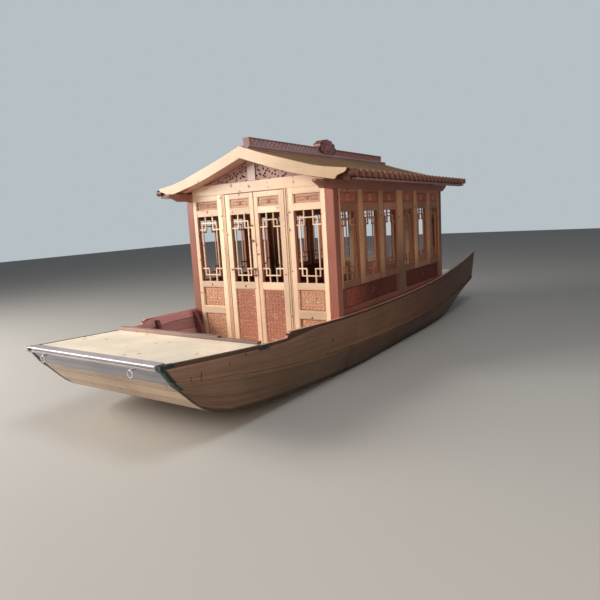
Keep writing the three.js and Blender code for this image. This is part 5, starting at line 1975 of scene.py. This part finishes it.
@dataclass
class Fittings:
    """Iron straps and clips, and the bright rings on the bow."""

    strap_wide: float = 0.026
    foot_share: float = 0.62
    strap_thick: float = 0.003
    sheer_fall: float = 0.07
    ring_share: float = 0.86
    # the ring's eye on the port side, and the height that the solid's ring hangs from
    ring_eye: Place = (3.4766, 0.523, 0.6448)
    ring_from: float = 0.641
    # X at which the strap's arm starts, and its width against the strap's
    arm_from: float = 3.375
    arm_share: float = 0.8
    foot_low: float = 0.488
    # how much thinner the leg and the foot are than the arm, so that no two faces lie in one plane
    laps: Range = (0.0004, 0.0002)
    # X, Y and Z of the block at the corner's tip, and a point of each of its two cuts
    nose: Rows = ((3.44, 3.511), (0.758, 0.8135), (0.615, 0.6845))
    nose_rake: Place = (3.5045, 0, 0.681)
    nose_foot: Place = (3.511, 0, 0.655)
    # X and Z of the front end of the sheer and of the knuckle, and a step aft and up, square to the rake
    sheer_end: Range = (3.505, 0.681)
    sheer_square: Range = (0.822, 0.569)
    knuckle_end: Range = (3.385, 0.515)
    knuckle_square: Range = (0.727, 0.687)

    def build(self) -> None:
        """Build every fitting."""
        for hand in Hand:
            self._strap(hand)
            node = f"sheer_clip_{hand.word}"
            Bench.finish(eased_copy(node, f"{node}_metal", Axis.X, 0.0008), IRON, node)
            node = f"mooring_ring_{hand.word}"
            ring = eased_copy(node, f"{node}_metal", Axis.X, 0.0008)
            x, y, z = self.ring_eye
            hang = Vector((x, hand.value * y, z))
            small = Matrix.Diagonal((1.0, self.ring_share, self.ring_share, 1.0))
            start = Matrix.Translation((-hang.x, -hang.y, -self.ring_from))
            Bench.settle(ring, Matrix.Translation(hang) @ small @ start)
            Bench.finish(ring, STEEL, node)

    def _strap(self, hand: Hand) -> None:
        """Build the strap over a bow corner: along the sheer, and down both strakes' front edges."""
        wide = self.strap_wide
        node = f"corner_strap_{hand.word}"
        upper = f"upper_strake_{hand.word}"
        lower = f"lower_strake_fore_{hand.word}"
        x, z = self.sheer_end
        arm = skin_patch(upper, f"{node}_arm", hand, (
            ((self.arm_from, 0, 0), (-1, 0, 0)),
            ((x, 0, z - wide * self.arm_share), (self.sheer_fall, 0, -1)),
        ), self.strap_thick)
        aft, up = self.sheer_square
        rake = (-aft, 0, up)
        leg = skin_patch(upper, f"{node}_leg", hand, (
            ((x - aft * wide, 0, z + up * wide), rake),
        ), self.strap_thick - self.laps[0])
        wide *= self.foot_share
        x, z = self.knuckle_end
        aft, up = self.knuckle_square
        foot = skin_patch(lower, f"{node}_foot", hand, (
            ((x - aft * wide, 0, z + up * wide), (-aft, 0, up)),
            ((x, 0, self.foot_low), (0.2, 0, -1)),
        ), self.strap_thick - self.laps[1])
        strap = Bench.join(f"{node}_metal", (arm, leg, foot))
        Bench.finish(strap, IRON, node)
        x, y, z = self.nose
        nose = Stack(f"{node}_nose").board(x, span(hand.value, *y), z, Axis.Z).done(0.0)
        Bench.slice(nose, self.nose_rake, rake)
        Bench.slice(nose, self.nose_foot, (0.59, 0, -0.81))
        Bench.bevel(nose, 0.004, 3)
        # the starboard nose is the same iron, and takes the cap's pale colour as a painted reflection
        Bench.finish(nose, IRON if hand is Hand.PORT else CAP_AND_REFLECTION)


# Studio


@dataclass
class Studio:
    """Floor, lights, world and the camera at the photograph's viewing angle."""

    position: Place = (5.731, 3.433, 1.579)
    right: Place = (-0.5522, 0.8317, -0.0586)
    down: Place = (0.1574, 0.0349, -0.9869)
    forward: Place = (-0.8187, -0.5542, -0.1502)
    lens: float = 31.703
    sensor: float = 36.0
    shift: float = -1 / 600
    floor_size: float = 60.0
    floor_colour: Colour = tint(196, 192, 186)
    sky_light: float = 0.15
    sky_colour: Colour = (0.86, 0.92, 1.0)
    sky_seen: float = 1.0
    backdrop: Colour = tint(182, 192, 197)
    # name, place, target, size, power, colour
    lights: tuple[tuple[str, tuple, tuple, float, float, Colour], ...] = (
        ("key", (7.5, -7.0, 4.6), (1.0, 0.0, 0.8), 5.0, 1250.0, (1.0, 0.96, 0.9)),
        ("above", (2.6, 3.2, 8.6), (0.3, 0.3, 1.2), 4.0, 225.0, (0.95, 0.98, 1.0)),
        ("fill", (5.6, 5.4, 3.4), (0.8, 0.9, 1.2), 3.0, 70.0, (1.0, 0.86, 0.72)),
    )

    def build(self) -> None:
        """Build the whole studio."""
        self._camera()
        self._floor()
        self._world()
        self._lights()

    def _camera(self) -> None:
        """Add the camera."""
        data = bpy.data.cameras.new("view")
        data.lens = self.lens
        data.sensor_width = self.sensor
        data.shift_y = self.shift
        camera = bpy.data.objects.new("view", data)
        turn = Matrix((Vector(self.right), -Vector(self.down), -Vector(self.forward))).transposed()
        camera.matrix_world = Matrix.Translation(self.position) @ turn.to_4x4()
        bpy.context.scene.collection.objects.link(camera)
        bpy.context.scene.camera = camera

    def _floor(self) -> None:
        """Add the plain pale floor at the boat's base."""
        Bench.clear()
        bpy.ops.mesh.primitive_plane_add(size=self.floor_size, location=(0, 0, 0))
        floor = bpy.context.object
        floor.name = "studio_floor"
        material = bpy.data.materials.new("studio_floor")
        material.use_nodes = True
        shader = material.node_tree.nodes["Principled BSDF"]
        shader.inputs["Base Color"].default_value = (*self.floor_colour, 1)
        shader.inputs["Roughness"].default_value = 0.5
        floor.data.materials.append(material)

    def _world(self) -> None:
        """Add a pale world that is seen brighter than it lights."""
        world = bpy.data.worlds.new("studio_world")
        bpy.context.scene.world = world
        world.use_nodes = True
        world.node_tree.nodes.clear()
        wiring = Wiring(world.node_tree)
        seen = wiring.node("ShaderNodeLightPath").outputs["Is Camera Ray"]
        glow = wiring.node("ShaderNodeBackground", {"Color": self.sky_colour, "Strength": self.sky_light})
        shows = wiring.node("ShaderNodeBackground", {"Color": self.backdrop, "Strength": self.sky_seen})
        both = wiring.node("ShaderNodeMixShader", {0: seen, 1: glow.outputs[0], 2: shows.outputs[0]})
        wiring.node("ShaderNodeOutputWorld", {"Surface": both.outputs[0]})

    def _lights(self) -> None:
        """Add the key light from the starboard bow, a soft light above and a weak fill."""
        for name, place, target, size, power, colour in self.lights:
            data = bpy.data.lights.new(name, "AREA")
            data.size = size
            data.energy = power
            data.color = colour
            light = bpy.data.objects.new(name, data)
            aim = (Vector(target) - Vector(place)).to_track_quat("-Z", "Y")
            light.matrix_world = Matrix.Translation(place) @ aim.to_matrix().to_4x4()
            bpy.context.scene.collection.objects.link(light)


def main() -> None:
    """Build the boat's looks, piece by piece, and the studio around it."""
    logging.basicConfig(level=logging.INFO, format="%(message)s")
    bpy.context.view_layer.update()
    Bench.effects = Effects()
    Studio().build()
    ornament = Ornament()
    Hull().build()
    EndWall("front", FRONT, 1, ornament).build()
    EndWall("rear", REAR, -1, ornament).build()
    SideWall(Hand.PORT, PORT, ornament).build()
    SideWall(Hand.STARBOARD, STARBOARD, ornament).build()
    Timbers().build()
    Roof(ornament).build()
    Fittings().build()
    ornament.forget()
    bpy.context.scene.view_settings.view_transform = "Standard"
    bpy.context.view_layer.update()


if __name__ == "__main__":
    main()
